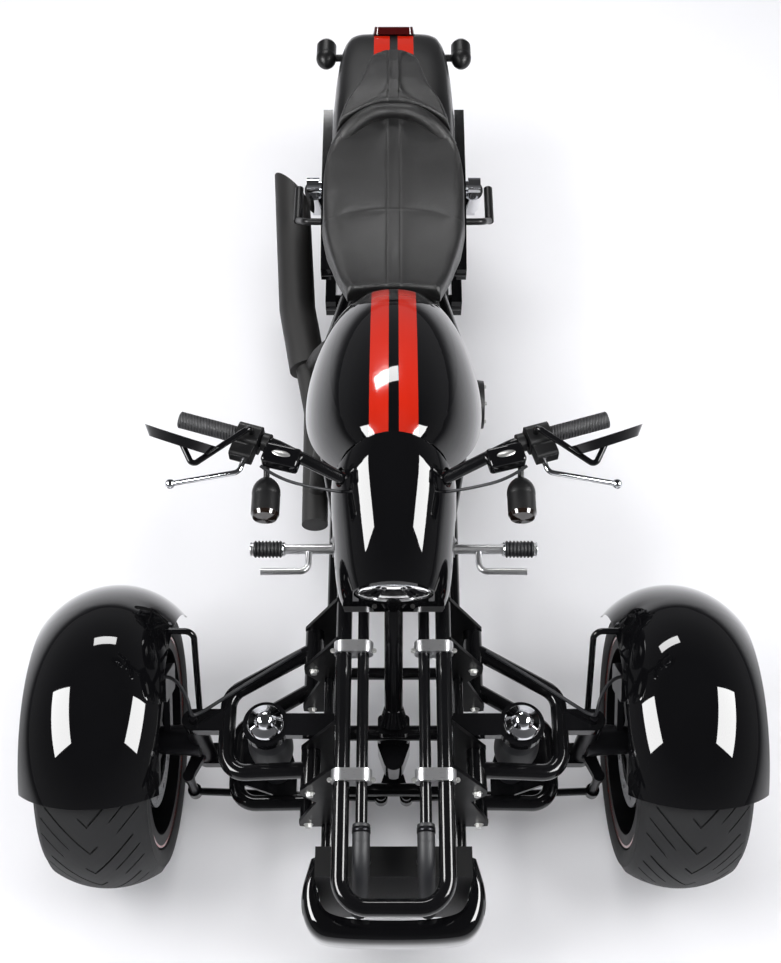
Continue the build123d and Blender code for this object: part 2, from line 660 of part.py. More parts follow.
SHROUD_SECTIONS = (  # z, half outline
    (SHROUD_BOTTOM_Z, hem),
    (SHROUD_LIP_Z, rim),
)
radiator_pocket = RADIATOR_HALF + SEAT_GAP
with BuildPart() as radiator_shroud:
    # Outside: a tapered apron under an upright lip, then the same shape one wall smaller cut out
    for inset, mode in ((0, Mode.ADD), (SHROUD_WALL, Mode.SUBTRACT)):
        for z, half in SHROUD_SECTIONS:
            side_points = [(x - inset, y + inset) for x, y in half[1:]]
            side_points.insert(0, (half[0][0] - inset, half[0][1]))
            with BuildSketch(Plane.XY.offset(z)):
                with BuildLine():
                    Polyline(*side_points, *[(-x, y) for x, y in reversed(side_points)], close=True)
                make_face()
        loft(mode=mode)
        lip_points = [(x - inset, y + inset) for x, y in rim[1:]]
        lip_points.insert(0, (rim[0][0] - inset, rim[0][1]))
        with BuildSketch(Plane.XY.offset(SHROUD_LIP_Z)):
            with BuildLine():
                Polyline(*lip_points, *[(-x, y) for x, y in reversed(lip_points)], close=True)
            make_face()
        extrude(amount=SHROUD_TOP_Z - SHROUD_LIP_Z - inset, mode=mode)
    # Mouth in the top for radiator and hoses, slots in the apron for the air
    with BuildSketch(Plane.XY.offset(SHROUD_TOP_Z + 1)):
        with BuildLine():
            Polyline(
                (radiator_pocket, SHROUD_REAR_Y + 1),
                (radiator_pocket, SHROUD_WIDE_Y),
                (SHROUD_FRONT_HALF, SHROUD_FRONT_Y + SHROUD_WALL + 34),
                (-SHROUD_FRONT_HALF, SHROUD_FRONT_Y + SHROUD_WALL + 34),
                (-radiator_pocket, SHROUD_WIDE_Y),
                (-radiator_pocket, SHROUD_REAR_Y + 1),
                close=True,
            )
        make_face()
    extrude(amount=-SHROUD_WALL - 2, mode=Mode.SUBTRACT)
    with BuildSketch(Plane(origin=(0, SHROUD_FRONT_Y - 1, 0), x_dir=(1, 0, 0), z_dir=(0, -1, 0))):
        for slot_z in INTAKE_ZS:
            with Locations((0, slot_z)):
                RectangleRounded(2 * INTAKE_HALF, INTAKE_HEIGHT, 8)
    extrude(amount=-SHROUD_UNDERCUT - SHROUD_WALL - 4, mode=Mode.SUBTRACT)
radiator_shroud.part.label = "radiator_shroud"
export_step(radiator_shroud.part, "parts/radiator_shroud.step")

# Main frame: steering head, front bulkhead, side tubes round the engine, rear uprights
FRAME_R = 16
SIDE_TUBE_X = 160
DOWNTUBE_R = 14
DOWNTUBE_X = 74
BULKHEAD_R = 18
BULKHEAD_Y = RAIL_REAR_Y + BULKHEAD_R + SEAT_GAP
SWING_PIVOT_Y = 470
SWING_PIVOT_Z = 345
SWING_PIVOT_R = 22
UPRIGHT_X = 105
upright_y = SWING_PIVOT_Y - SWING_PIVOT_R - SEAT_GAP - FRAME_R
STEM_R = 15
head_base = foot + steer_up * head_start
with BuildPart() as main_frame:
    with BuildSketch(Plane(origin=(-RAIL_X - 24, BULKHEAD_Y, RAIL_Z), z_dir=(1, 0, 0))):
        Circle(BULKHEAD_R)
    extrude(amount=2 * (RAIL_X + 24))
    for _, side in SIDES:
        with BuildLine() as path:
            FilletPolyline(
                (side * (RAIL_X + 14), BULKHEAD_Y, RAIL_Z),
                (side * SIDE_TUBE_X, -150, 612),
                (side * SIDE_TUBE_X, 130, 595),
                (side * UPRIGHT_X, upright_y, 500),
                (side * UPRIGHT_X, upright_y, 280),
                (side * LOWER_RAIL_X, 260, LOWER_RAIL_Z),
                (side * LOWER_RAIL_X, LOWER_RAIL_REAR_Y + SEAT_GAP, LOWER_RAIL_Z),
                radius=48,
            )
        with BuildSketch(Plane(origin=path.line @ 0, z_dir=path.line % 0)):
            Circle(FRAME_R)
        sweep()
        with BuildLine() as path:
            Line((side * DOWNTUBE_X, BULKHEAD_Y, RAIL_Z), (side * LOWER_RAIL_X, LOWER_RAIL_REAR_Y + 30, LOWER_RAIL_Z))
        with BuildSketch(Plane(origin=path.line @ 0, z_dir=path.line % 0)):
            Circle(DOWNTUBE_R)
        sweep()
        with BuildLine() as path:
            Line((side * 30, BULKHEAD_Y, RAIL_Z), head_base + steer_up * 50 + Vector(side * 8, 0, 0))
        with BuildSketch(Plane(origin=path.line @ 0, z_dir=path.line % 0)):
            Circle(FRAME_R)
        sweep()
    with BuildSketch(Plane(origin=head_base, x_dir=(1, 0, 0), z_dir=steer_up)):
        Circle(HEAD_R)
    extrude(amount=HEAD_LENGTH)
    with BuildSketch(Plane(origin=head_base + steer_up * HEAD_LENGTH, x_dir=(1, 0, 0), z_dir=steer_up)):
        Circle(STEM_R + SEAT_GAP)
    extrude(amount=-60, mode=Mode.SUBTRACT)
main_frame.part.label = "main_frame"
export_step(main_frame.part, "parts/main_frame.step")

# Engine: a V twin with its case, side covers and two finned cylinders
CRANK_Y = 90
CRANK_Z = 375
CASE_HALF = 122
VEE_DEG = 30
CYL_HALF = 92
CYL_DEPTH = 142
CYL_START = 96
CYL_TOP = 268
FIN_COUNT = 6
FIN_FIRST = 140
FIN_PITCH = 20
FIN_WALL = 6
FIN_REACH = 12
PORT_R = 25
PORT_Z = 520
PORT_YS = (-20, 200)
with BuildPart() as engine_case:
    with BuildSketch(Plane(origin=(-CASE_HALF, 0, 0), x_dir=(0, 1, 0), z_dir=(1, 0, 0))):
        with BuildLine():
            Polyline(
                (CRANK_Y - 250, 262),
                (CRANK_Y - 262, 350),
                (CRANK_Y - 170, 430),
                (CRANK_Y - 20, 455),
                (CRANK_Y + 190, 455),
                (CRANK_Y + 300, 400),
                (CRANK_Y + 300, 335),
                (CRANK_Y + 205, 258),
                (CRANK_Y - 190, 240),
                close=True,
            )
        make_face()
    extrude(amount=2 * CASE_HALF)
    COVERS = (  # side, y, z, radius, reach
        (1, CRANK_Y + 40, 352, 78, 112),
        (1, CRANK_Y - 140, 340, 50, 40),
        (-1, CRANK_Y + 60, 345, 86, 26),
        (-1, CRANK_Y - 140, 345, 52, 20),
    )
    for side, cover_y, cover_z, cover_r, reach in COVERS:
        with BuildSketch(Plane(origin=(side * CASE_HALF, cover_y, cover_z), z_dir=(side, 0, 0))):
            Circle(cover_r)
        extrude(amount=reach, taper=8)
engine_case.part.label = "engine_case"
export_step(engine_case.part, "parts/engine_case.step")

with BuildPart() as cylinder_banks:
    for lean, port_y in zip((-1, 1), PORT_YS):
        tilt = radians(VEE_DEG)
        bank = Plane(
            origin=(0, CRANK_Y, CRANK_Z),
            x_dir=(1, 0, 0),
            z_dir=(0, lean * sin(tilt), cos(tilt)),
        )
        with BuildSketch(bank.offset(CYL_START)):
            RectangleRounded(2 * CYL_HALF, CYL_DEPTH, 24)
        extrude(amount=CYL_TOP - CYL_START)
        for index in range(FIN_COUNT):
            with BuildSketch(bank.offset(FIN_FIRST + index * FIN_PITCH)):
                RectangleRounded(2 * (CYL_HALF + FIN_REACH), CYL_DEPTH + 2 * FIN_REACH, 24 + FIN_REACH)
            extrude(amount=FIN_WALL)
        with BuildSketch(Plane(origin=(-CYL_HALF + 20, port_y, PORT_Z), z_dir=(-1, 0, 0))):
            Circle(PORT_R)
        extrude(amount=FIN_REACH + 20)
    add(engine_case.part, mode=Mode.SUBTRACT)
cylinder_banks.part.label = "cylinders"
export_step(cylinder_banks.part, "parts/cylinders.step")

# Tank cover: domed sections from the seat to the steering head
TANK = (  # y, shoulder half, shoulder z, top z, base half, base z
    (200, 72, 722, 745, 112, 668),
    (90, 118, 770, 818, 166, 668),
    (-60, 142, 808, 872, 202, 664),
    (-200, 124, 844, 900, 186, 690),
    (-298, 72, 862, 892, 116, 742),
)
with BuildPart() as tank_cover:
    for y, shoulder, shoulder_z, top_z, base, base_z in TANK:
        rise = top_z - shoulder_z
        arc_r = (shoulder**2 + rise**2) / (2 * rise)
        lean = asin(shoulder / arc_r)
        with BuildSketch(Plane(origin=(0, y, 0), x_dir=(1, 0, 0), z_dir=(0, -1, 0))):
            with BuildLine():
                ThreePointArc((-shoulder, shoulder_z), (0, top_z), (shoulder, shoulder_z))
                TangentArc((shoulder, shoulder_z), (base, base_z), tangent=(cos(lean), -sin(lean)))
                Line((base, base_z), (-base, base_z))
                TangentArc((-shoulder, shoulder_z), (-base, base_z), tangent=(-cos(lean), -sin(lean)))
            make_face()
    loft()
tank_cover.part.label = "tank_cover"
export_step(tank_cover.part, "parts/tank_cover.step")

# Airbox fills the vee between the cylinders and carries the cover
AIRBOX_HALF = 62
AIRBOX_BASE_Z = CRANK_Z + 185
AIRBOX_FRONT_Y = CRANK_Y - 60
AIRBOX_REAR_Y = CRANK_Y + 60
with BuildPart() as airbox:
    with BuildSketch(Plane.XY.offset(AIRBOX_BASE_Z)):
        with Locations((0, (AIRBOX_FRONT_Y + AIRBOX_REAR_Y) / 2)):
            Rectangle(2 * AIRBOX_HALF, AIRBOX_REAR_Y - AIRBOX_FRONT_Y)
    extrude(amount=TANK[1][5] + 40 - AIRBOX_BASE_Z)
    add(cylinder_banks.part, mode=Mode.SUBTRACT)
    add(engine_case.part, mode=Mode.SUBTRACT)
    add(tank_cover.part, mode=Mode.SUBTRACT)
airbox.part.label = "airbox"
export_step(airbox.part, "parts/airbox.step")

# Rear fender: side profile and plan crossed, then opened over the tyre
REAR_FENDER_R = 365
WELL_R = 344
WELL_HALF = 127
REAR_FENDER_HALF = 166
FENDER_MID_HALF = 152
FENDER_END_HALF = 124
TAIL_HALF = 88
PILLION_REAR_Y = 1069
TAIL_FLAT = 107
TAIL_DROP = 69
TAIL_BREAK_Y = PILLION_REAR_Y + TAIL_FLAT
TAIL_Y = TAIL_BREAK_Y + TAIL_DROP
TAIL_TOP_Z = 655
TAIL_END_Z = 600
FENDER_FRONT_Y = 622
FENDER_HEM_Z = 490
front_rise = sqrt(REAR_FENDER_R**2 - (REAR_AXLE_Y - FENDER_FRONT_Y) ** 2)
mid_y = (REAR_AXLE_Y + FENDER_FRONT_Y) / 2
mid_rise = sqrt(REAR_FENDER_R**2 - (REAR_AXLE_Y - mid_y) ** 2)
with BuildPart() as rear_fender:
    with BuildSketch(Plane(origin=(-REAR_FENDER_HALF, 0, 0), x_dir=(0, 1, 0), z_dir=(1, 0, 0))):
        with BuildLine():
            ThreePointArc(
                (FENDER_FRONT_Y, AXLE_Z + front_rise),
                (mid_y, AXLE_Z + mid_rise),
                (REAR_AXLE_Y, AXLE_Z + REAR_FENDER_R),
            )
            Polyline(
                (REAR_AXLE_Y, AXLE_Z + REAR_FENDER_R),
                (TAIL_BREAK_Y, TAIL_TOP_Z),
                (TAIL_Y, TAIL_END_Z),
                (TAIL_Y - 14, FENDER_HEM_Z),
                (FENDER_FRONT_Y, FENDER_HEM_Z),
                (FENDER_FRONT_Y, AXLE_Z + front_rise),
            )
        make_face()
    extrude(amount=2 * REAR_FENDER_HALF)
    with BuildSketch(Plane.XY.offset(FENDER_HEM_Z - 5)):
        with BuildLine():
            FilletPolyline(
                (REAR_FENDER_HALF, FENDER_FRONT_Y - 5),
                (REAR_FENDER_HALF, REAR_AXLE_Y + 40),
                (FENDER_MID_HALF, TAIL_Y - 160),
                (FENDER_END_HALF, TAIL_Y - 45),
                (TAIL_HALF, TAIL_Y),
                (-TAIL_HALF, TAIL_Y),
                (-FENDER_END_HALF, TAIL_Y - 45),
                (-FENDER_MID_HALF, TAIL_Y - 160),
                (-REAR_FENDER_HALF, REAR_AXLE_Y + 40),
                (-REAR_FENDER_HALF, FENDER_FRONT_Y - 5),
                radius=36,
                close=True,
            )
        make_face()
    extrude(amount=300, mode=Mode.INTERSECT)
    with BuildSketch(Plane(origin=(-WELL_HALF, REAR_AXLE_Y, AXLE_Z), z_dir=(1, 0, 0))):
        Circle(WELL_R)
    extrude(amount=2 * WELL_HALF, mode=Mode.SUBTRACT)
rear_fender.part.label = "rear_fender"
export_step(rear_fender.part, "parts/rear_fender.step")

# Seat: side profile and plan crossed, then seated on the fender
SEAT_FRONT_Y = 222
SEAT_REAR_Y = 815
SEAT_HALF = 188
SEAT_WIDE_Y = 546
SEAT_NOSE_HALF = 93
SEAT_CORNER_HALF = 170
SEAT_BACK_BOW = 97
seat_corner_y = SEAT_REAR_Y - SEAT_BACK_BOW
seat_back_r = (SEAT_CORNER_HALF**2 + SEAT_BACK_BOW**2) / (2 * SEAT_BACK_BOW)
with BuildPart() as seat:
    with BuildSketch(Plane(origin=(-SEAT_HALF, 0, 0), x_dir=(0, 1, 0), z_dir=(1, 0, 0))):
        with BuildLine():
            ThreePointArc((SEAT_FRONT_Y, 722), (490, 668), (SEAT_REAR_Y - 20, 742))
            Polyline(
                (SEAT_REAR_Y - 20, 742),
                (SEAT_REAR_Y, 735),
                (SEAT_REAR_Y, 640),
                (620, 600),
                (420, 585),
                (SEAT_FRONT_Y, 662),
                (SEAT_FRONT_Y, 722),
            )
        make_face()
    extrude(amount=2 * SEAT_HALF)
    with BuildSketch(Plane.XY.offset(570)):
        with BuildLine():
            ThreePointArc((SEAT_NOSE_HALF, SEAT_FRONT_Y), (160, 365), (SEAT_HALF, SEAT_WIDE_Y))
            ThreePointArc((SEAT_HALF, SEAT_WIDE_Y), (186, 640), (SEAT_CORNER_HALF, seat_corner_y))
            ThreePointArc((SEAT_CORNER_HALF, seat_corner_y), (0, SEAT_REAR_Y), (-SEAT_CORNER_HALF, seat_corner_y))
            ThreePointArc((-SEAT_CORNER_HALF, seat_corner_y), (-186, 640), (-SEAT_HALF, SEAT_WIDE_Y))
            ThreePointArc((-SEAT_HALF, SEAT_WIDE_Y), (-160, 365), (-SEAT_NOSE_HALF, SEAT_FRONT_Y))
            Line((-SEAT_NOSE_HALF, SEAT_FRONT_Y), (SEAT_NOSE_HALF, SEAT_FRONT_Y))
        make_face()
    extrude(amount=220, mode=Mode.INTERSECT)
    with BuildSketch(Plane(origin=(-SEAT_HALF - 5, REAR_AXLE_Y, AXLE_Z), z_dir=(1, 0, 0))):
        Circle(REAR_FENDER_R + SEAT_GAP)
    extrude(amount=2 * SEAT_HALF + 10, mode=Mode.SUBTRACT)
seat.part.label = "seat"
export_step(seat.part, "parts/seat.step")

# Pillion pad: its front follows the seat's back edge, its sides draw in to the tail
PILLION_GAP = 9
PILLION_FRONT_Y = SEAT_REAR_Y + PILLION_GAP
PILLION_WING = 150
PILLION_NECK = 104
PILLION_TAIL = 68
pillion_r = seat_back_r + PILLION_GAP
wing_y = PILLION_FRONT_Y - pillion_r + sqrt(pillion_r**2 - PILLION_WING**2)
tail_slope = (AXLE_Z + REAR_FENDER_R - TAIL_TOP_Z) / (TAIL_BREAK_Y - REAR_AXLE_Y)
pillion_base = AXLE_Z + REAR_FENDER_R + SEAT_GAP
with BuildPart() as pillion:
    with BuildSketch(Plane(origin=(-REAR_FENDER_HALF, 0, 0), x_dir=(0, 1, 0), z_dir=(1, 0, 0))):
        with BuildLine():
            Polyline(
                (wing_y - 5, pillion_base - 60),
                (REAR_AXLE_Y, pillion_base - 1),
                (REAR_AXLE_Y, pillion_base),
                (PILLION_REAR_Y, pillion_base - tail_slope * (PILLION_REAR_Y - REAR_AXLE_Y)),
                (PILLION_REAR_Y, 692),
                (PILLION_REAR_Y - 40, 715),
                (PILLION_FRONT_Y + 60, 744),
                (PILLION_FRONT_Y, 738),
                (wing_y - 5, 728),
                close=True,
            )
        make_face()
    extrude(amount=2 * REAR_FENDER_HALF)
    with BuildSketch(Plane.XY.offset(600)):
        with BuildLine():
            ThreePointArc((-PILLION_WING, wing_y), (0, PILLION_FRONT_Y), (PILLION_WING, wing_y))
            ThreePointArc((PILLION_WING, wing_y), (PILLION_WING - 14, wing_y + 72), (PILLION_NECK, wing_y + 128))
            Line((PILLION_NECK, wing_y + 128), (PILLION_TAIL, PILLION_REAR_Y - 24))
            ThreePointArc((PILLION_TAIL, PILLION_REAR_Y - 24), (0, PILLION_REAR_Y), (-PILLION_TAIL, PILLION_REAR_Y - 24))
            Line((-PILLION_TAIL, PILLION_REAR_Y - 24), (-PILLION_NECK, wing_y + 128))
            ThreePointArc((-PILLION_NECK, wing_y + 128), (-PILLION_WING + 14, wing_y + 72), (-PILLION_WING, wing_y))
        make_face()
    extrude(amount=160, mode=Mode.INTERSECT)
    with BuildSketch(Plane(origin=(-REAR_FENDER_HALF, REAR_AXLE_Y, AXLE_Z), z_dir=(1, 0, 0))):
        Circle(REAR_FENDER_R + SEAT_GAP)
    extrude(amount=2 * REAR_FENDER_HALF, mode=Mode.SUBTRACT)
pillion.part.label = "pillion"
export_step(pillion.part, "parts/pillion.step")

# Tail lamp on the sloping end of the fender, and a bullet signal on each side
slope = Vector(0, TAIL_Y - TAIL_BREAK_Y, TAIL_END_Z - TAIL_TOP_Z).normalized()
slope_up = Vector(0, -slope.Z, slope.Y)
slope_mid = Vector(0, (TAIL_Y + TAIL_BREAK_Y) / 2, (TAIL_END_Z + TAIL_TOP_Z) / 2)
with BuildPart() as tail_lamp:
    with BuildSketch(Plane(origin=slope_mid + slope_up * SEAT_GAP - slope * 16, x_dir=(1, 0, 0), z_dir=slope_up)):
        RectangleRounded(116, 52, 18)
    extrude(amount=20, taper=12)
tail_lamp.part.label = "tail_lamp"
export_step(tail_lamp.part, "parts/tail_lamp.step")

SIGNAL_R = 28
REAR_SIGNAL = (192, 1140, 590)  # x, y, z of the lens end's centre line
with BuildPart() as rear_signals:
    for _, side in SIDES:
        signal = Vector(side * REAR_SIGNAL[0], REAR_SIGNAL[1], REAR_SIGNAL[2])
        with BuildSketch(Plane(origin=signal, x_dir=(side, 0, 0), z_dir=(0, 0, side))):
            with BuildLine():
                Polyline((0, 72), (24, 68), (SIGNAL_R, 60), (SIGNAL_R, 20))
                ThreePointArc((SIGNAL_R, 20), (19, -12), (0, -24))
                Line((0, -24), (0, 72))
            make_face()
        revolve(axis=Axis(signal, (0, 1, 0)))
        stalk_x = FENDER_END_HALF - 4
        with BuildSketch(Plane(origin=(side * stalk_x, REAR_SIGNAL[1] + 14, REAR_SIGNAL[2]), z_dir=(side, 0, 0))):
            Circle(10)
        extrude(amount=REAR_SIGNAL[0] - stalk_x - 10)
    add(rear_fender.part, mode=Mode.SUBTRACT)
rear_signals.part.label = "rear_signals"
export_step(rear_signals.part, "parts/rear_signals.step")

# Fender struts along both sides of the tail carry fender, seat and shocks
STRUT_WALL = 26
STRUT_X = REAR_FENDER_HALF + SEAT_GAP
with BuildPart() as fender_struts:
    for _, side in SIDES:
        with BuildSketch(Plane(origin=(side * STRUT_X, 0, 0), x_dir=(0, 1, 0), z_dir=(1, 0, 0))):
            with BuildLine():
                Polyline(
                    (upright_y + FRAME_R + 2, 470),
                    (upright_y + FRAME_R + 2, 512),
                    (600, 572),
                    (640, 590),
                    (930, 610),
                    (945, 590),
                    (650, 548),
                    (600, 530),
                    close=True,
                )
            make_face()
        extrude(amount=side * STRUT_WALL)
        with BuildSketch(Plane(origin=(side * (UPRIGHT_X - 10), upright_y + FRAME_R + SEAT_GAP + 12, 490), z_dir=(side, 0, 0))):
            Circle(12)
        extrude(amount=STRUT_X + STRUT_WALL - UPRIGHT_X + 10)
fender_struts.part.label = "fender_struts"
export_step(fender_struts.part, "parts/fender_struts.step")

# Passenger pegs fold up along the struts on cranked arms
FOLD_PEG_X = 262
FOLD_PEG_Y = (652, 770)
FOLD_PEG_Z = 470
FOLD_ARM_R = 9
FOLD_PEG_R = 12
with BuildPart() as passenger_pegs:
    for _, side in SIDES:
        with BuildLine() as path:
            FilletPolyline(
                (side * (STRUT_X + STRUT_WALL + SEAT_GAP), 585, 545),
                (side * (FOLD_PEG_X - 24), 590, 540),
                (side * FOLD_PEG_X, FOLD_PEG_Y[0] + 4, FOLD_PEG_Z),
                radius=20,
            )
        with BuildSketch(Plane(origin=path.line @ 0, z_dir=(side, 0, 0))):
            Circle(FOLD_ARM_R)
        sweep()
        with BuildSketch(Plane(origin=(side * FOLD_PEG_X, FOLD_PEG_Y[0], FOLD_PEG_Z), z_dir=(0, 1, 0))):
            Circle(FOLD_PEG_R)
        extrude(amount=FOLD_PEG_Y[1] - FOLD_PEG_Y[0])
passenger_pegs.part.label = "passenger_pegs"
export_step(passenger_pegs.part, "parts/passenger_pegs.step")

# Swingarm: pivot tube, two box arms and the fixed rear axle
ARM_IN = 158
ARM_WALL = 28
with BuildPart() as swingarm:
    with BuildSketch(Plane(origin=(-ARM_IN - ARM_WALL, SWING_PIVOT_Y, SWING_PIVOT_Z), z_dir=(1, 0, 0))):
        Circle(SWING_PIVOT_R)
    extrude(amount=2 * (ARM_IN + ARM_WALL))
    with BuildSketch(Plane(origin=(-ARM_IN - ARM_WALL, REAR_AXLE_Y, AXLE_Z), z_dir=(1, 0, 0))):
        Circle(SPINDLE_R)
    extrude(amount=2 * (ARM_IN + ARM_WALL))
    for _, side in SIDES:
        with BuildSketch(Plane(origin=(side * ARM_IN, 0, 0), x_dir=(0, 1, 0), z_dir=(1, 0, 0))):
            with BuildLine():
                Polyline(
                    (SWING_PIVOT_Y - 20, SWING_PIVOT_Z - 30),
                    (SWING_PIVOT_Y - 20, SWING_PIVOT_Z + 30),
                    (SWING_PIVOT_Y + 60, SWING_PIVOT_Z + 36),
                    (REAR_AXLE_Y - 20, AXLE_Z + 30),
                    (REAR_AXLE_Y + 50, AXLE_Z + 26),
                    (REAR_AXLE_Y + 50, AXLE_Z - 24),
                    (REAR_AXLE_Y - 40, AXLE_Z - 30),
                    close=True,
                )
            make_face()
        extrude(amount=side * ARM_WALL)
swingarm.part.label = "swingarm"
export_step(swingarm.part, "parts/swingarm.step")

# Rear shocks: spring body between an eye on the swingarm and one on the strut
SHOCK_X = 216
SHOCK_LOW = (805, 352)  # y, z
SHOCK_HIGH = (690, 572)  # y, z
with BuildPart() as rear_shocks:
    for _, side in SIDES:
        low = Vector(side * SHOCK_X, *SHOCK_LOW)
        high = Vector(side * SHOCK_X, *SHOCK_HIGH)
        along = (high - low).normalized()
        span = (high - low).length
        with BuildSketch(Plane(origin=low, z_dir=along)):
            Circle(14)
        extrude(amount=span)
        with BuildSketch(Plane(origin=low + along * 44, z_dir=along)):
            Circle(27)
        extrude(amount=span - 100)
        for eye, seat_x in ((low, ARM_IN + ARM_WALL), (high, STRUT_X + STRUT_WALL)):
            with BuildSketch(Plane(origin=(side * (seat_x + SEAT_GAP), eye.Y, eye.Z), z_dir=(side, 0, 0))):
                Circle(11)
            extrude(amount=SHOCK_X + 16 - seat_x)
            with BuildSketch(Plane(origin=(side * (SHOCK_X - 16), eye.Y, eye.Z), z_dir=(side, 0, 0))):
                Circle(20)
            extrude(amount=32)
rear_shocks.part.label = "rear_shocks"
export_step(rear_shocks.part, "parts/rear_shocks.step")

# Final drive: toothed belt from the engine's output to the rear pulley
sprocket = (SPROCKET_Y, SPROCKET_Z)
pulley = (REAR_AXLE_Y, AXLE_Z)
gap_y = REAR_AXLE_Y - SPROCKET_Y
drop = AXLE_Z - SPROCKET_Z
reach = sqrt(gap_y**2 + drop**2)
BELT_CLEAR = 0.5
with BuildPart() as drive_belt:
    with BuildSketch(Plane(origin=(BELT_X, 0, 0), x_dir=(0, 1, 0), z_dir=(1, 0, 0))):
        for wall, mode in ((BELT_WALL, Mode.ADD), (0, Mode.SUBTRACT)):
            small = SPROCKET_R + BELT_CLEAR + wall
            large = PULLEY_R + BELT_CLEAR + wall
            base = atan2(drop, gap_y)
            lean = asin((large - small) / reach)
            points = []
            for centre, radius in ((sprocket, small), (pulley, large)):
                for sign in (1, -1):
                    angle = base + sign * (radians(90) + lean)
                    points.append((centre[0] + radius * cos(angle), centre[1] + radius * sin(angle)))
            front = (SPROCKET_Y - small * cos(base), SPROCKET_Z - small * sin(base))
            back = (REAR_AXLE_Y + large * cos(base), AXLE_Z + large * sin(base))
            with BuildLine():
                ThreePointArc(points[0], front, points[1])
                Line(points[1], points[3])
                ThreePointArc(points[3], back, points[2])
                Line(points[2], points[0])
            make_face(mode=mode)
    extrude(amount=BELT_WIDTH)
drive_belt.part.label = "drive_belt"
export_step(drive_belt.part, "parts/drive_belt.step")

with BuildPart() as sprocket_drive:
    with BuildSketch(Plane(origin=(CASE_HALF + SEAT_GAP, SPROCKET_Y, SPROCKET_Z), z_dir=(1, 0, 0))):
        Circle(SPROCKET_R)
    extrude(amount=BELT_X + BELT_WIDTH - CASE_HALF)
sprocket_drive.part.label = "output_sprocket"
export_step(sprocket_drive.part, "parts/output_sprocket.step")

# Exhaust: headers from both cylinders into one long muffler low on the right side
PIPE_R = 33
PIPE_PATH = ((-200, -190, 285), (-206, 150, 285), (-244, 345, 294))  # x, y, z
MUFFLER_R = 50
MUFFLER_WALL = 6
MUFFLER_PATH = ((-232, 285, 290), (-268, 480, 302), (-289, 790, 330), (-303, 1010, 350))  # x, y, z
TIP_MID = (-301, 887, 338)
TIP_FACE = (0.70, 0.71, 0)
TIP_DEPTH = 120
HEADER_R = 19
HEADERS = (  # port y, bend y, bend x, end y, end x
    (PORT_YS[0], -80, -188, -110, -200),
    (PORT_YS[1], 255, -196, 290, -228),
)
header_x = CYL_HALF + FIN_REACH + SEAT_GAP
with BuildPart() as exhaust:
    for points, pipe_r in ((PIPE_PATH, PIPE_R), (MUFFLER_PATH, MUFFLER_R)):
        with BuildLine() as path:
            FilletPolyline(*points, radius=110)
        with BuildSketch(Plane(origin=path.line @ 0, z_dir=path.line % 0)):
            Circle(pipe_r)
        sweep()
    # The tip is cut on the slant and is open
    split(bisect_by=Plane(origin=TIP_MID, z_dir=TIP_FACE), keep=Keep.BOTTOM)
    tail = (Vector(*MUFFLER_PATH[3]) - Vector(*MUFFLER_PATH[2])).normalized()
    with BuildSketch(Plane(origin=MUFFLER_PATH[3], z_dir=tail)):
        Circle(MUFFLER_R - MUFFLER_WALL)
    extrude(amount=-TIP_DEPTH - 60, mode=Mode.SUBTRACT)
    for port_y, bend_y, bend_x, end_y, end_x in HEADERS:
        with BuildLine() as path:
            FilletPolyline(
                (-header_x, port_y, PORT_Z),
                (-header_x - 56, port_y, PORT_Z),
                (bend_x, bend_y, 400),
                (end_x, end_y, PIPE_PATH[0][2]),
                radius=36,
            )
        with BuildSketch(Plane(origin=path.line @ 0, z_dir=path.line % 0)):
            Circle(HEADER_R)
        sweep()
exhaust.part.label = "exhaust"
export_step(exhaust.part, "parts/exhaust.step")

# Foot controls: a peg, its arm and a toe lever on each side
PEG_R = 16
PEG_IN = 262
PEG_OUT = 344
PEG_Y = -313
PEG_Z = 390
PEG_ARM_R = 12
PEG_PLATE_WALL = 12
PEG_PLATE_HALF = 19
downtube_lean = (LOWER_RAIL_X - DOWNTUBE_X) / (RAIL_Z - LOWER_RAIL_Z)
downtube_side = DOWNTUBE_R * sqrt(1 + downtube_lean**2) + SEAT_GAP
peg_plate_x = DOWNTUBE_X + downtube_lean * (RAIL_Z - PEG_Z + PEG_PLATE_HALF) + downtube_side
peg_seat_x = peg_plate_x + PEG_PLATE_WALL - 2
with BuildPart() as foot_controls:
    for _, side in SIDES:
        with BuildSketch(Plane(origin=(side * peg_plate_x, 0, 0), x_dir=(0, 1, 0), z_dir=(1, 0, 0))):
            with Locations((PEG_Y + PEG_PLATE_HALF, PEG_Z)):
                RectangleRounded(70, 2 * PEG_PLATE_HALF, 10)
        extrude(amount=side * PEG_PLATE_WALL)
        with BuildSketch(Plane(origin=(side * peg_seat_x, PEG_Y, PEG_Z), z_dir=(side, 0, 0))):
            Circle(PEG_ARM_R)
        extrude(amount=PEG_IN - peg_seat_x)
        with BuildSketch(Plane(origin=(side * PEG_IN, PEG_Y, PEG_Z), z_dir=(side, 0, 0))):
            Circle(PEG_R)
        extrude(amount=PEG_OUT - PEG_IN)
        with BuildLine() as path:
            FilletPolyline(
                (side * 205, PEG_Y, PEG_Z),
                (side * 205, PEG_Y - 62, PEG_Z + 6),
                (side * 318, PEG_Y - 66, PEG_Z + 12),
                radius=22,
            )
        with BuildSketch(Plane(origin=path.line @ 0, z_dir=path.line % 0)):
            Circle(8)
        sweep()
foot_controls.part.label = "foot_controls"
export_step(foot_controls.part, "parts/foot_controls.step")

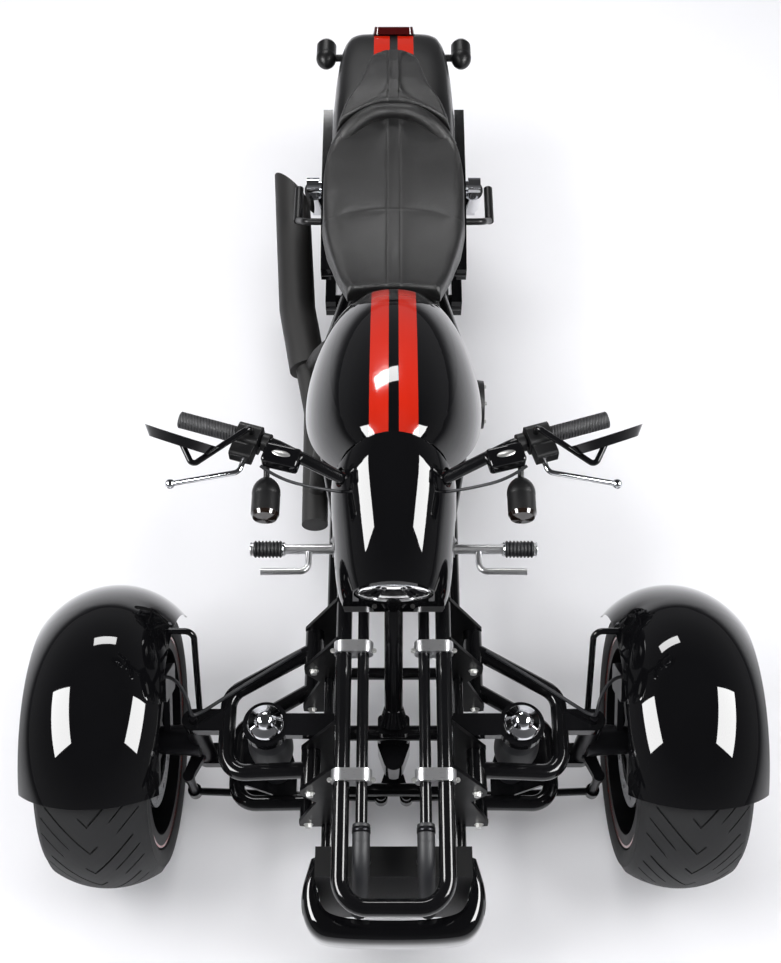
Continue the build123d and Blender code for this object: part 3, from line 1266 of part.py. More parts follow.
# Handlebar on two risers, with the clamp that turns in the steering head
BAR_R = 12.7
BAR = (  # x, y, z of the left half, from the middle out
    (92, -430, 922),
    (236, -392, 1000),
    (427, -333, 1000),
)
bar_points = [(-x, y, z) for x, y, z in reversed(BAR)] + list(BAR)
CLAMP_HALF = 92
CLAMP_DEPTH = 34
RISER_R = 15
RISER_X = 64
head_top = foot + steer_up * COLUMN_LENGTH
with BuildPart() as handlebar:
    with BuildSketch(Plane(origin=head_top - steer_up * 55, x_dir=(1, 0, 0), z_dir=steer_up)):
        Circle(STEM_R)
    extrude(amount=70)
    with BuildSketch(Plane(origin=head_top + steer_up * SEAT_GAP, x_dir=(1, 0, 0), z_dir=steer_up)):
        RectangleRounded(2 * CLAMP_HALF, 70, 20)
    extrude(amount=CLAMP_DEPTH)
    for _, side in SIDES:
        base = head_top + steer_up * 10 + Vector(side * RISER_X, 0, 0)
        top = Vector(side * RISER_X, BAR[0][1], BAR[0][2])
        with BuildSketch(Plane(origin=base, z_dir=top - base)):
            Circle(RISER_R)
        extrude(amount=(top - base).length)
        with BuildSketch(Plane(origin=top - Vector(18, 0, 0), z_dir=(1, 0, 0))):
            Circle(BAR_R + 6)
        extrude(amount=36)
    with BuildLine() as path:
        FilletPolyline(*bar_points, radius=46)
    with BuildSketch(Plane(origin=path.line @ 0, z_dir=path.line % 0)):
        Circle(BAR_R)
    sweep()
handlebar.part.label = "handlebar"
export_step(handlebar.part, "parts/handlebar.step")

# Grips, switch pods, levers, mirrors and signals follow the outer run of the bar
GRIP_R = 17
GRIP_IN = 311
POD_IN = 252
POD_OUT = 304
POD_HALF = 25
POD_BOX = 34
POD_BOX_REACH = 38
LEVER_TIP = (443, -459, 962)
grip_end = Vector(*BAR[2])
bend = Vector(*BAR[1])
run = (grip_end - bend).normalized()
with BuildPart() as grips:
    for _, side in SIDES:
        start = bend + run * ((GRIP_IN - bend.X) / run.X)
        length = (grip_end - start).length
        with BuildSketch(Plane(origin=(side * start.X, start.Y, start.Z), z_dir=(side * run.X, run.Y, run.Z))):
            Circle(GRIP_R)
            Circle(BAR_R + SEAT_GAP, mode=Mode.SUBTRACT)
        extrude(amount=length)
grips.part.label = "grips"
export_step(grips.part, "parts/grips.step")

with BuildPart() as switch_pods:
    for _, side in SIDES:
        start = bend + run * ((POD_IN + 12 - bend.X) / run.X)
        pod_plane = Plane(origin=(side * start.X, start.Y, start.Z), x_dir=(0, 0, 1), z_dir=(side * run.X, run.Y, run.Z))
        with BuildSketch(pod_plane):
            RectangleRounded(2 * POD_HALF, 48, 14)
        extrude(amount=48)
        with BuildSketch(pod_plane.offset(2)):
            with Locations((6, side * POD_BOX_REACH)):
                RectangleRounded(POD_BOX, POD_BOX, 8)
        extrude(amount=44)
        with BuildSketch(pod_plane):
            Circle(BAR_R + SEAT_GAP)
        extrude(amount=60, both=True, mode=Mode.SUBTRACT)
switch_pods.part.label = "switch_pods"
export_step(switch_pods.part, "parts/switch_pods.step")

LEVER_R = 5.5
LEVER_TIP_R = 10
LEVER_ROOT_X = 280
fore = Vector(run.Y, -run.X, 0)
with BuildPart() as hand_levers:
    for _, side in SIDES:
        root_run = bend + run * ((LEVER_ROOT_X - bend.X) / run.X)
        root = root_run + fore * (POD_BOX_REACH + POD_BOX / 2 + SEAT_GAP)
        knee = root + fore * 24
        tip = Vector(*LEVER_TIP)
        with BuildLine() as path:
            FilletPolyline(*[(side * p.X, p.Y, p.Z) for p in (root, knee, tip)], radius=14)
        with BuildSketch(Plane(origin=path.line @ 0, z_dir=path.line % 0)):
            Circle(LEVER_R)
        sweep()
        with Locations((side * tip.X, tip.Y, tip.Z)):
            Sphere(LEVER_TIP_R, rotation=(0, 0, 90 - 90 * side))
hand_levers.part.label = "hand_levers"
export_step(hand_levers.part, "parts/hand_levers.step")

# Mirrors: a bent stem and a slim shell turned in toward the rider
MIRROR_LONG = 158
MIRROR_TALL = 84
MIRROR_DEPTH = 20
MIRROR_MID = (416, -406, 1040)
STEM_ELBOW = (392, -452, 1022)
MIRROR_STEM_R = 6
with BuildPart() as mirrors:
    for _, side in SIDES:
        stem_run = bend + run * ((LEVER_ROOT_X - bend.X) / run.X)
        stem_foot = stem_run + Vector(0, 0, POD_HALF + SEAT_GAP)
        elbow = Vector(*STEM_ELBOW)
        mid = Vector(*MIRROR_MID)
        stem = (stem_foot, stem_foot + Vector(0, 0, 20), elbow, mid)
        with BuildLine() as path:
            FilletPolyline(*[(side * p.X, p.Y, p.Z) for p in stem], radius=10)
        with BuildSketch(Plane(origin=path.line @ 0, z_dir=path.line % 0)):
            Circle(MIRROR_STEM_R)
        sweep()
        face_plane = Plane(origin=(side * mid.X, mid.Y, mid.Z), x_dir=(side * 0.93, 0.36, 0), z_dir=(side * 0.3, -0.82, -0.48))
        with BuildSketch(face_plane.offset(MIRROR_DEPTH / 2)):
            Ellipse(MIRROR_LONG / 2 - 16, MIRROR_TALL / 2 - 14)
        with BuildSketch(face_plane.offset(-MIRROR_DEPTH / 2)):
            Ellipse(MIRROR_LONG / 2, MIRROR_TALL / 2)
        loft()
mirrors.part.label = "mirrors"
export_step(mirrors.part, "parts/mirrors.step")

# Front bullet signals hang ahead of the bar on short stalks
FRONT_SIGNAL = (252, -466, 958)  # x, y, z of the bullet's rear centre
with BuildPart() as front_signals:
    for _, side in SIDES:
        signal = Vector(side * FRONT_SIGNAL[0], FRONT_SIGNAL[1], FRONT_SIGNAL[2])
        with BuildSketch(Plane(origin=signal, x_dir=(side, 0, 0), z_dir=(0, 0, side))):
            with BuildLine():
                ThreePointArc((0, 24), (19, 12), (SIGNAL_R, -20))
                Polyline((SIGNAL_R, -20), (SIGNAL_R, -60), (24, -68), (0, -72), (0, 24))
            make_face()
        revolve(axis=Axis(signal, (0, 1, 0)))
        clamp_at = bend + run * ((FRONT_SIGNAL[0] - bend.X) / run.X)
        ring_at = Vector(side * clamp_at.X, clamp_at.Y, clamp_at.Z)
        ring_axis = Vector(side * run.X, run.Y, run.Z)
        with BuildSketch(Plane(origin=signal, z_dir=ring_at - signal)):
            Circle(6)
        extrude(amount=(ring_at - signal).length)
        with BuildSketch(Plane(origin=ring_at - ring_axis * 7, z_dir=ring_axis)):
            Circle(BAR_R + 6)
        extrude(amount=14)
        with BuildSketch(Plane(origin=ring_at - ring_axis * 20, z_dir=ring_axis)):
            Circle(BAR_R + SEAT_GAP)
        extrude(amount=40, mode=Mode.SUBTRACT)
front_signals.part.label = "front_signals"
export_step(front_signals.part, "parts/front_signals.step")

# Headlight cowl: a domed nose lofted forward, hollow, with the lamp's round mouth
COWL = (  # y, shoulder half, shoulder z, top z, base half, base z
    (-350, 96, 940, 1003, 110, 850),
    (-440, 104, 934, 988, 122, 812),
    (-530, 98, 896, 950, 118, 768),
    (-600, 86, 864, 908, 112, 740),
    (-634, 72, 850, 882, 100, 735),
)
COWL_WALL = 5
LAMP_HALF = 80
LAMP_TALL = 47
LAMP_Z = 822
LAMP_REAR_Y = -592
LAMP_FRONT_Y = -642
LENS_RISE = 10
with BuildPart() as headlight_cowl:
    for shrink, mode in ((0, Mode.ADD), (COWL_WALL, Mode.SUBTRACT)):
        for y, shoulder, shoulder_z, top_z, base, base_z in COWL:
            half = shoulder - shrink
            low = base - shrink
            rise = top_z - shoulder_z
            arc_r = (half**2 + rise**2) / (2 * rise)
            lean = asin(half / arc_r)
            station = y if mode == Mode.ADD else y + COWL_WALL
            with BuildSketch(Plane(origin=(0, station, -shrink), x_dir=(1, 0, 0), z_dir=(0, -1, 0))):
                with BuildLine():
                    ThreePointArc((-half, shoulder_z), (0, top_z), (half, shoulder_z))
                    TangentArc((half, shoulder_z), (low, base_z - shrink), tangent=(cos(lean), -sin(lean)))
                    Line((low, base_z - shrink), (-low, base_z - shrink))
                    TangentArc((-half, shoulder_z), (-low, base_z - shrink), tangent=(-cos(lean), -sin(lean)))
                make_face()
        loft(mode=mode)
    with BuildSketch(Plane.XY.offset(650)):
        with BuildLine():
            ThreePointArc((-150, -432), (0, -361), (150, -432))
            Polyline((150, -432), (150, -300), (-150, -300), (-150, -432))
        make_face()
    extrude(amount=500, mode=Mode.SUBTRACT)
    with BuildSketch(Plane(origin=(0, LAMP_REAR_Y, LAMP_Z), x_dir=(1, 0, 0), z_dir=(0, -1, 0))):
        Ellipse(LAMP_HALF + SEAT_GAP, LAMP_TALL + SEAT_GAP)
    extrude(amount=200, mode=Mode.SUBTRACT)
    with BuildLine() as path:
        FilletPolyline(*bar_points, radius=46)
    with BuildSketch(Plane(origin=path.line @ 0, z_dir=path.line % 0)):
        Circle(BAR_R + 7)
    sweep(mode=Mode.SUBTRACT)
    clamp_mid = head_top + steer_up * (SEAT_GAP + CLAMP_DEPTH / 2)
    for _, side in SIDES:
        with BuildSketch(Plane(origin=(side * (CLAMP_HALF + SEAT_GAP), clamp_mid.Y, clamp_mid.Z), z_dir=(side, 0, 0))):
            Circle(10)
        extrude(amount=COWL[1][4] - CLAMP_HALF + COWL_WALL - SEAT_GAP)
headlight_cowl.part.label = "headlight_cowl"
export_step(headlight_cowl.part, "parts/headlight_cowl.step")

lamp_plane = Plane(origin=(0, LAMP_REAR_Y, LAMP_Z), x_dir=(1, 0, 0), z_dir=(0, -1, 0))
lamp_depth = LAMP_REAR_Y - LAMP_FRONT_Y
with BuildPart() as headlight:
    with BuildSketch(lamp_plane):
        Ellipse(LAMP_HALF, LAMP_TALL)
    extrude(amount=lamp_depth - LENS_RISE)
    with BuildSketch(lamp_plane.offset(lamp_depth - LENS_RISE)):
        Ellipse(LAMP_HALF, LAMP_TALL)
    with BuildSketch(lamp_plane.offset(lamp_depth)):
        Ellipse(LAMP_HALF - 2 * LENS_RISE, LAMP_TALL - 2 * LENS_RISE)
    loft()
headlight.part.label = "headlight"
export_step(headlight.part, "parts/headlight.step")
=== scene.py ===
"""Looks of the motorized trike: finishes, tyre tread, leather pads, stripes, lamps and fittings."""

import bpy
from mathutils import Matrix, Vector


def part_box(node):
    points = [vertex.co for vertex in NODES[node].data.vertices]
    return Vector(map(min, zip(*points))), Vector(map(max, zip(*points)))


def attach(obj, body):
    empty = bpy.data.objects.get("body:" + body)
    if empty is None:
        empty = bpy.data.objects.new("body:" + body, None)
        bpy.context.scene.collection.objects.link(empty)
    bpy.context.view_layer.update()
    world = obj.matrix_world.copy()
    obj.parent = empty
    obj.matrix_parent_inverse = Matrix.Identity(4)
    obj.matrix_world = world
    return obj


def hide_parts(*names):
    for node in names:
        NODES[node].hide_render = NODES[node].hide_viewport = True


bl_info = {
    "name": "Motorized trike looks",
    "version": (1, 0, 0),
    "blender": (4, 5, 0),
    "location": "View3D > Sidebar > Trike",
    "description": "Dresses the packed trike with its finishes, tread, leather, stripes and fittings",
    "category": "Object",
}

from math import cos, hypot, pi, radians, sin, sqrt

import bmesh
import bpy
from bpy.props import FloatProperty, FloatVectorProperty, IntProperty, PointerProperty
from mathutils import Matrix, Vector
from mathutils.bvhtree import BVHTree

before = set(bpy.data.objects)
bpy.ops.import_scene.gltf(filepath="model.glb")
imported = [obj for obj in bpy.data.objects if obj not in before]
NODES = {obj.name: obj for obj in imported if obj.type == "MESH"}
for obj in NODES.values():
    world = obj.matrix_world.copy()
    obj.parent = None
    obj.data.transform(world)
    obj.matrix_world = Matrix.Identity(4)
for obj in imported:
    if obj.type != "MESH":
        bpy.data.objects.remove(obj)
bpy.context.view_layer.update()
MM = 0.001
SIDES = (("left", 1), ("right", -1))  # name, sign of X


def linear(code):
    """An sRGB hex colour such as #c8290f as linear RGBA."""
    channels = [int(code[i : i + 2], 16) / 255 for i in (1, 3, 5)]
    return tuple(c / 12.92 if c <= 0.04045 else ((c + 0.055) / 1.055) ** 2.4 for c in channels) + (1.0,)


def feed(tree, node, inputs):
    """Sets a node's inputs to values, or links them to other nodes' outputs."""
    for socket, value in inputs.items():
        if isinstance(value, bpy.types.NodeSocket):
            tree.links.new(value, node.inputs[socket])
        else:
            node.inputs[socket].default_value = value


def add_node(tree, kind, inputs=None, **settings):
    """Adds a node with its settings, sets or links its inputs, and gives its outputs."""
    made = tree.nodes.new(kind)
    for name, value in settings.items():
        setattr(made, name, value)
    feed(tree, made, inputs or {})
    return made.outputs


def new_material(name, sockets):
    """A material with its shader's constant sockets set: the tree, the shader and the place on the object."""
    material = bpy.data.materials.new(name)
    material.use_nodes = True
    tree = material.node_tree
    shader = tree.nodes["Principled BSDF"]
    feed(tree, shader, sockets)
    return tree, shader, add_node(tree, "ShaderNodeTexCoord")["Object"]


SPAN = ("From Min", "From Max", "To Min", "To Max")


def coated(name, colours, roughness, skin_mm, skin_height_mm, sockets=None, cloud_mm=160, edge_mm=1.5):
    """Paint, plastic or rubber: eased edges, a fine skin in the normal, a broad cloud in colour and gloss."""
    tree, shader, place = new_material(name, sockets or {})
    colours = [linear(colour) if isinstance(colour, str) else colour for colour in colours]
    fine = {"Vector": place, "Scale": 1 / (skin_mm * MM), "Detail": 2.0}
    skin = add_node(tree, "ShaderNodeTexNoise", fine)["Fac"]
    edge = add_node(tree, "ShaderNodeBevel", {"Radius": edge_mm * MM}, samples=4)["Normal"]
    bump = add_node(tree, "ShaderNodeBump", {"Height": skin, "Distance": skin_height_mm * MM, "Normal": edge})
    broad = {"Vector": place, "Scale": 1 / (cloud_mm * MM), "Detail": 4.0}
    cloud = add_node(tree, "ShaderNodeTexNoise", broad)["Fac"]
    tint = add_node(tree, "ShaderNodeMixRGB", {"Fac": cloud, "Color1": colours[0], "Color2": colours[1]})
    gloss = add_node(tree, "ShaderNodeMapRange", {"Value": cloud, **dict(zip(SPAN, (0.3, 0.7, *roughness)))})
    feed(tree, shader, {"Base Color": tint["Color"], "Roughness": gloss["Result"], "Normal": bump["Normal"]})


def metal(name, colour, roughness, line_mm, along):
    """Worked metal: fine lines along one axis in gloss and normal, as a belt or a cutter leaves them."""
    tree, shader, place = new_material(name, {"Base Color": linear(colour), "Metallic": 1.0})
    stretch = [0.04 if axis == along else 1.0 for axis in range(3)]
    drawn = add_node(tree, "ShaderNodeMapping", {"Vector": place, "Scale": stretch})["Vector"]
    fine = {"Vector": drawn, "Scale": 1 / (line_mm * MM), "Detail": 3.0}
    lines = add_node(tree, "ShaderNodeTexNoise", fine)["Fac"]
    span = dict(zip(SPAN, (0.25, 0.75, *roughness)))
    gloss = add_node(tree, "ShaderNodeMapRange", {"Value": lines, **span})
    bump = add_node(tree, "ShaderNodeBump", {"Height": lines, "Distance": 0.02 * MM})
    feed(tree, shader, {"Roughness": gloss["Result"], "Normal": bump["Normal"]})


def grained_leather(name, colours, pebble_mm):
    """Cowhide, embossed: small raised pebbles with painted shade in the valleys between them, a soft sheen,
    and a paler rubbed cloud.
    """
    sheen = {"Specular IOR Level": 0.55, "Sheen Weight": 0.03, "Sheen Roughness": 0.5}
    tree, shader, place = new_material(name, sheen)
    grain = {"Vector": place, "Scale": 1 / (pebble_mm * MM)}
    pebbles = add_node(tree, "ShaderNodeTexVoronoi", grain, feature="DISTANCE_TO_EDGE")["Distance"]
    valley = add_node(tree, "ShaderNodeMapRange", {"Value": pebbles, "From Max": 0.22})["Result"]
    broad = {"Vector": place, "Scale": 1 / (90 * MM), "Detail": 5.0}
    cloud = add_node(tree, "ShaderNodeTexNoise", broad)["Fac"]
    # The first colour is painted shade for the valleys between the pebbles; the other two are the leather's
    # own tone and its paler rubbed tone.
    deep, plain, pale = colours
    rubbed = add_node(tree, "ShaderNodeMixRGB", {"Fac": cloud, "Color1": plain, "Color2": pale})["Color"]
    # Painted shade: the valleys between the pebbles take the darkest colour.
    tint = add_node(tree, "ShaderNodeMixRGB", {"Fac": valley, "Color1": deep, "Color2": rubbed})
    gloss = add_node(tree, "ShaderNodeMapRange", {"Value": cloud, **dict(zip(SPAN, (0.3, 0.7, 0.34, 0.46)))})
    bump = add_node(tree, "ShaderNodeBump", {"Height": valley, "Distance": 0.25 * MM, "Strength": 0.7})
    feed(tree, shader, {"Base Color": tint["Color"], "Roughness": gloss["Result"], "Normal": bump["Normal"]})


def ribbed(name, colours, roughness, rib_mm, along):
    """Moulded ribs or pressed fins: a wave along one axis in the normal, with painted shade in the valleys
    and a painted highlight on the crests.
    """
    tree, shader, place = new_material(name, {"Roughness": roughness})
    wave = {"Vector": place, "Scale": pi / (10 * rib_mm * MM), "Distortion": 0.0}
    ribs = add_node(tree, "ShaderNodeTexWave", wave, bands_direction=along)["Fac"]
    # The first colour is painted shade in the valleys, the second a painted highlight on the crests.
    dark, pale = (linear(colour) for colour in colours)
    tint = add_node(tree, "ShaderNodeMixRGB", {"Fac": ribs, "Color1": dark, "Color2": pale})
    bump = add_node(tree, "ShaderNodeBump", {"Height": ribs, "Distance": 0.35 * rib_mm * MM})
    feed(tree, shader, {"Base Color": tint["Color"], "Normal": bump["Normal"]})


def clear(name, colour, roughness, flute_mm):
    """Moulded clear lens: full transmission with faint flutes that break up what is seen through it."""
    glass = {"Base Color": linear(colour), "Roughness": roughness, "IOR": 1.58, "Transmission Weight": 1.0}
    tree, shader, place = new_material(name, glass)
    wave = {"Vector": place, "Scale": 0.05 / (flute_mm * MM), "Distortion": 0.0}
    flutes = add_node(tree, "ShaderNodeTexWave", wave, bands_direction="X")["Fac"]
    bump = add_node(tree, "ShaderNodeBump", {"Height": flutes, "Distance": 0.25 * MM, "Strength": 0.5})
    feed(tree, shader, {"Normal": bump["Normal"]})


def make_finishes(paint):
    """All the finishes of the trike, by their names."""
    # Two-pack lacquer, sprayed and polished: a mirror-deep black with the faintest orange peel.
    polish = {"Specular IOR Level": 0.05, "Coat Weight": 1.0, "Coat Roughness": 0.02, "Coat IOR": 1.42}
    coated("black lacquer", (paint.lacquer, "#0c0c0e"), (0.03, 0.05), 9, 0.015, polish)
    # Powder coat, baked on tube: glossy, with a slightly wavier skin than the lacquer.
    baked = {"Specular IOR Level": 0.1, "Coat Weight": 0.8, "Coat Roughness": 0.07, "Coat IOR": 1.36}
    coated("black powder coat", ("#09090a", "#101012"), (0.08, 0.16), 5, 0.03, baked)
    # The same powder with a dry skin, on plates and wheels: flat faces stay black over a pale floor.
    dry = {"Specular IOR Level": 0.05}
    coated("matt black powder coat", ("#09090a", "#101012"), (0.3, 0.42), 5, 0.04, dry)
    # Satin enamel, sprayed: a soft grey highlight that hides the small dents.
    coated("satin black enamel", ("#0c0c0d", "#131314"), (0.34, 0.44), 2, 0.02, {"Specular IOR Level": 0.3})
    # Wrinkle enamel, baked on castings: a tight pucker, coarser here so that it shows.
    coated("black wrinkle enamel", ("#0f0f10", "#1a1a1b"), (0.38, 0.5), 1.6, 0.12)
    # Ceramic coat on steel pipe: dry and dark grey, with a brown heat cloud.
    coated("matt ceramic coat", ("#0c0c0d", "#171513"), (0.5, 0.62), 1.2, 0.03, cloud_mm=110)
    # Anodised aluminium: dark with a metallic lift at the edges.
    coated("black anodised aluminium", ("#1a1a1c", "#222226"), (0.28, 0.36), 1.0, 0.01, {"Metallic": 0.75})
    # Vulcanised tyre rubber: dull, with road dust in a broad cloud.
    coated("tyre rubber", ("#17181a", "#252526"), (0.55, 0.72), 1.1, 0.06, {"Specular IOR Level": 0.3})
    # Moulded nitrile rubber: grey-black and softly matt.
    coated("moulded rubber", ("#121316", "#1d1e22"), (0.5, 0.62), 0.9, 0.04)
    # Grip rubber, moulded with ribs across the hand; its darker colour is painted shade in the valleys and
    # its paler one a painted highlight on the ribs.
    ribbed("ribbed rubber", ("#101012", "#2a2a2d"), 0.55, 6, "X")
    # Radiator core: pressed aluminium fins, sprayed black; its darker colour is painted shade between the
    # fins and its paler one a painted highlight on them.
    ribbed("black radiator fins", ("#060607", "#1b1b1e"), 0.4, 2.5, "Z")
    # Satin enamel over a pressed fender: the same paint, with the wide soft edge of pressed steel.
    thin = {"Coat Weight": 0.25}
    coated("satin fender enamel", ("#0a0a0b", "#101011"), (0.28, 0.38), 2, 0.02, thin, edge_mm=9)
    # Stripe of tinted lacquer, wet-sanded flat: clean edges and an even red.
    sanded = {"Coat Weight": 0.8, "Coat Roughness": 0.04}
    coated("red lacquer", (paint.stripe, "#bb2410"), (0.10, 0.16), 9, 0.01, sanded)
    # Acrylic lens, moulded in red: dark inside, glossy outside.
    moulded = {"Coat Weight": 1.0, "Coat Roughness": 0.03}
    coated("red acrylic lens", (paint.lens, "#4a0606"), (0.05, 0.09), 4, 0.02, moulded)
    # Smoked acrylic: nearly black with a warm core.
    coated("smoked acrylic", ("#120f0d", "#241811"), (0.06, 0.1), 3, 0.02, {"Coat Weight": 0.8})
    # Waxed thread, spun: a paler line on the leather.
    coated("waxed thread", ("#2c2b2b", "#383737"), (0.6, 0.7), 0.8, 0.05)
    # Cowhide over foam: soft and dark, with a faint sheen and a paler rubbed cloud; the first colour is
    # painted shade in the grain's valleys.
    grained_leather("black cowhide", (linear("#070708"), paint.leather, linear("#181717")), 2.4)
    # Stainless band, polished: bright, with fine lines along the rail.
    metal("polished stainless", "#d6d6d8", (0.26, 0.38), 0.7, 0)
    # Chrome plate: a mirror, only slightly broken.
    metal("chrome plate", "#e2e3e6", (0.03, 0.07), 2.5, 1)
    # Brake steel, ground: grey with lines round the sweep of the pads.
    metal("ground brake steel", "#8f9092", (0.22, 0.34), 0.8, 2)
    # Zinc-plated screws: pale and a little dull.
    metal("zinc plate", "#c2c2c0", (0.3, 0.42), 1.2, 2)
    # Silvered mirror glass: flat and bright.
    metal("silvered glass", "#eef0f2", (0.01, 0.02), 3.0, 0)
    # Polycarbonate lens, moulded clear, with upright flutes.
    clear("clear polycarbonate", "#f4f7fa", 0.02, 9)


def finish_of(name):
    """The finish that make_finishes made under that name."""
    return bpy.data.materials[name]


def link_piece(name, data, body):
    """Puts a mesh or a curve in the scene as a piece that rides on a body."""
    piece = bpy.data.objects.new(name, data)
    bpy.context.scene.collection.objects.link(piece)
    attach(piece, body)
    return piece


def add_piece(name, mesh, finishes, body, smooth=True):
    """A piece from a mesh, with its finishes."""
    for finish in finishes:
        mesh.materials.append(finish_of(finish))
    if smooth:
        mesh.shade_smooth()
    return link_piece(name, mesh, body)


def add_shape(name, verts, faces, finishes, body, smooth=True):
    """A piece from its points and faces, in metres."""
    mesh = bpy.data.meshes.new(name)
    mesh.from_pydata([tuple(v) for v in verts], [], faces)
    mesh.update()
    return add_piece(name, mesh, finishes, body, smooth)


def add_built(name, shape, finishes, body, smooth=True):
    """A piece from a bmesh, which is freed."""
    mesh = bpy.data.meshes.new(name)
    bmesh.ops.recalc_face_normals(shape, faces=shape.faces)
    shape.to_mesh(mesh)
    shape.free()
    return add_piece(name, mesh, finishes, body, smooth)


def grid_faces(rows, columns, start=0, ring=False):
    """Quads of a grid of points stored row by row; a ring joins its last row to its first."""
    faces = []
    for row in range(rows if ring else rows - 1):
        here = start + row * columns
        there = start + (row + 1) % rows * columns
        for column in range(columns - 1):
            faces.append((here + column, here + column + 1, there + column + 1, there + column))
    return faces


def aim(at, along):
    """Matrix that puts local Z along a direction at a point."""
    return Matrix.Translation(at) @ Vector(along).to_track_quat("Z", "Y").to_matrix().to_4x4()


def add_disc(shape, at, along, radius, depth, tip=1.0, segments=32):
    """A short turned disc into a bmesh, from a point outward; tip is the far radius as a share."""
    middle = Vector(at) + Vector(along).normalized() * depth / 2
    bmesh.ops.create_cone(
        shape,
        cap_ends=True,
        segments=segments,
        radius1=radius,
        radius2=radius * tip,
        depth=depth,
        matrix=aim(middle, along),
    )


def add_screw(shape, at, along, flats):
    """A washer and a chamfered hexagon head into a bmesh, standing on a face."""
    along = Vector(along).normalized()
    add_disc(shape, at, along, flats * 0.78, flats * 0.12, 1.0, 20)
    add_disc(shape, Vector(at) + along * flats * 0.12, along, flats * 0.577, flats * 0.5, 1.0, 6)
    add_disc(shape, Vector(at) + along * flats * 0.62, along, flats * 0.56, flats * 0.08, 0.82, 6)


def add_tube(name, points, radius, finish, body):
    """A bent tube, wire or piping along a smooth line that its points draw."""
    curve = bpy.data.curves.new(name, "CURVE")
    curve.dimensions = "3D"
    curve.bevel_depth = radius
    curve.bevel_resolution = 4
    curve.use_fill_caps = True
    spline = curve.splines.new("NURBS")
    spline.points.add(len(points) - 1)
    for place, point in zip(spline.points, points):
        place.co = (*point, 1.0)
    spline.order_u = 3
    spline.use_endpoint_u = True
    spline.resolution_u = 6
    curve.materials.append(finish_of(finish))
    return link_piece(name, curve, body)


def add_turned(name, rings, middle, axes, finish, body, slot, segments=64):
    """A bowl, dome or cap from a table of sizes and places along a line; axes are across, up and along."""
    across, up, along = (Vector(axis) for axis in axes)
    verts = []
    for size, place in rings:
        for step in range(segments + 1):
            turn = 2 * pi * step / segments
            verts.append(middle + across * size * cos(turn) + up * size * sin(turn) + along * place)
    return add_shape(name, verts, grid_faces(len(rings), segments + 1), [finish], body)


def at_mm(side, x, y, z):
    """A point given in mm for the left side, in metres on either side."""
    return Vector((side * x, y, z)) * MM


def surface_of(mesh):
    """A search tree over the faces of a mesh."""
    points = [vertex.co.copy() for vertex in mesh.vertices]
    return BVHTree.FromPolygons(points, [list(polygon.vertices) for polygon in mesh.polygons])


def drape(name, surface, x_span, y_span, lift, finish, body, counts=(6, 90)):
    """A thin strip laid on a surface from above, lifted off it by the thickness of its paint."""
    columns, rows = counts
    verts = []
    for row in range(rows):
        y = y_span[0] + (y_span[1] - y_span[0]) * row / (rows - 1)
        for column in range(columns):
            x = x_span[0] + (x_span[1] - x_span[0]) * column / (columns - 1)
            hit, normal, _, _ = surface.ray_cast(Vector((x, y, 2.0)), Vector((0, 0, -1)))
            verts.append(hit + normal * lift)
    return add_shape(name, verts, grid_faces(rows, columns), [finish], body)


def colour(name, description, code):
    """A colour setting."""
    return FloatVectorProperty(
        name=name, description=description, subtype="COLOR", size=4, min=0, max=1, default=linear(code)
    )


def length(name, description, size_mm):
    """A setting that is a length."""
    return FloatProperty(name=name, description=description, unit="LENGTH", default=size_mm * MM)


class TrikePaint(bpy.types.PropertyGroup):
    """Colours of the trike."""

    lacquer: colour("Lacquer", "Body colour", "#070708")
    stripe: colour("Stripe", "Stripes on cover and tail", "#b01c09")
    leather: colour("Leather", "Seat leather", "#101011")
    lens: colour("Tail lens", "Tail lamp", "#300404")


class TrikeTread(bpy.types.PropertyGroup):
    """Sizes of the tyre tread."""

    pitches: IntProperty(name="Pitches", description="Grooves round a tyre", default=14, min=8, max=40)
    depth: length("Groove depth", "Depth of a groove", 5.5)
    sweep: FloatProperty(name="Sweep", description="Trail of a groove", default=1.25, min=0.2, max=3)


class TrikeSeat(bpy.types.PropertyGroup):
    """Sizes of the upholstery."""

    pull: length("Seam pull", "How deep a seam pulls the leather in", 2.2)
    roll: length("Roll", "Radius of a pad's rolled edge", 30)
    swell: length("Swell", "Farthest that the foam pushes the leather out", 5)
    stitch: length("Stitch", "Length of a stitch and its gap", 7)


class TrikeStage(bpy.types.PropertyGroup):
    """Floor, lamps and camera."""

    floor: colour("Floor", "Studio floor", "#f1f1f4")
    lamp: FloatProperty(name="Lamp power", description="Power that lamps share", unit="POWER", default=84.0)
    walls: FloatProperty(name="Walls", description="Light from the pale walls", default=0.22, min=0, max=5)
    ceiling: FloatProperty(name="Ceiling", description="Light from above", default=0.05, min=0, max=5)
    lens: FloatProperty(name="Lens", description="Focal length of the camera in mm", default=48.6)


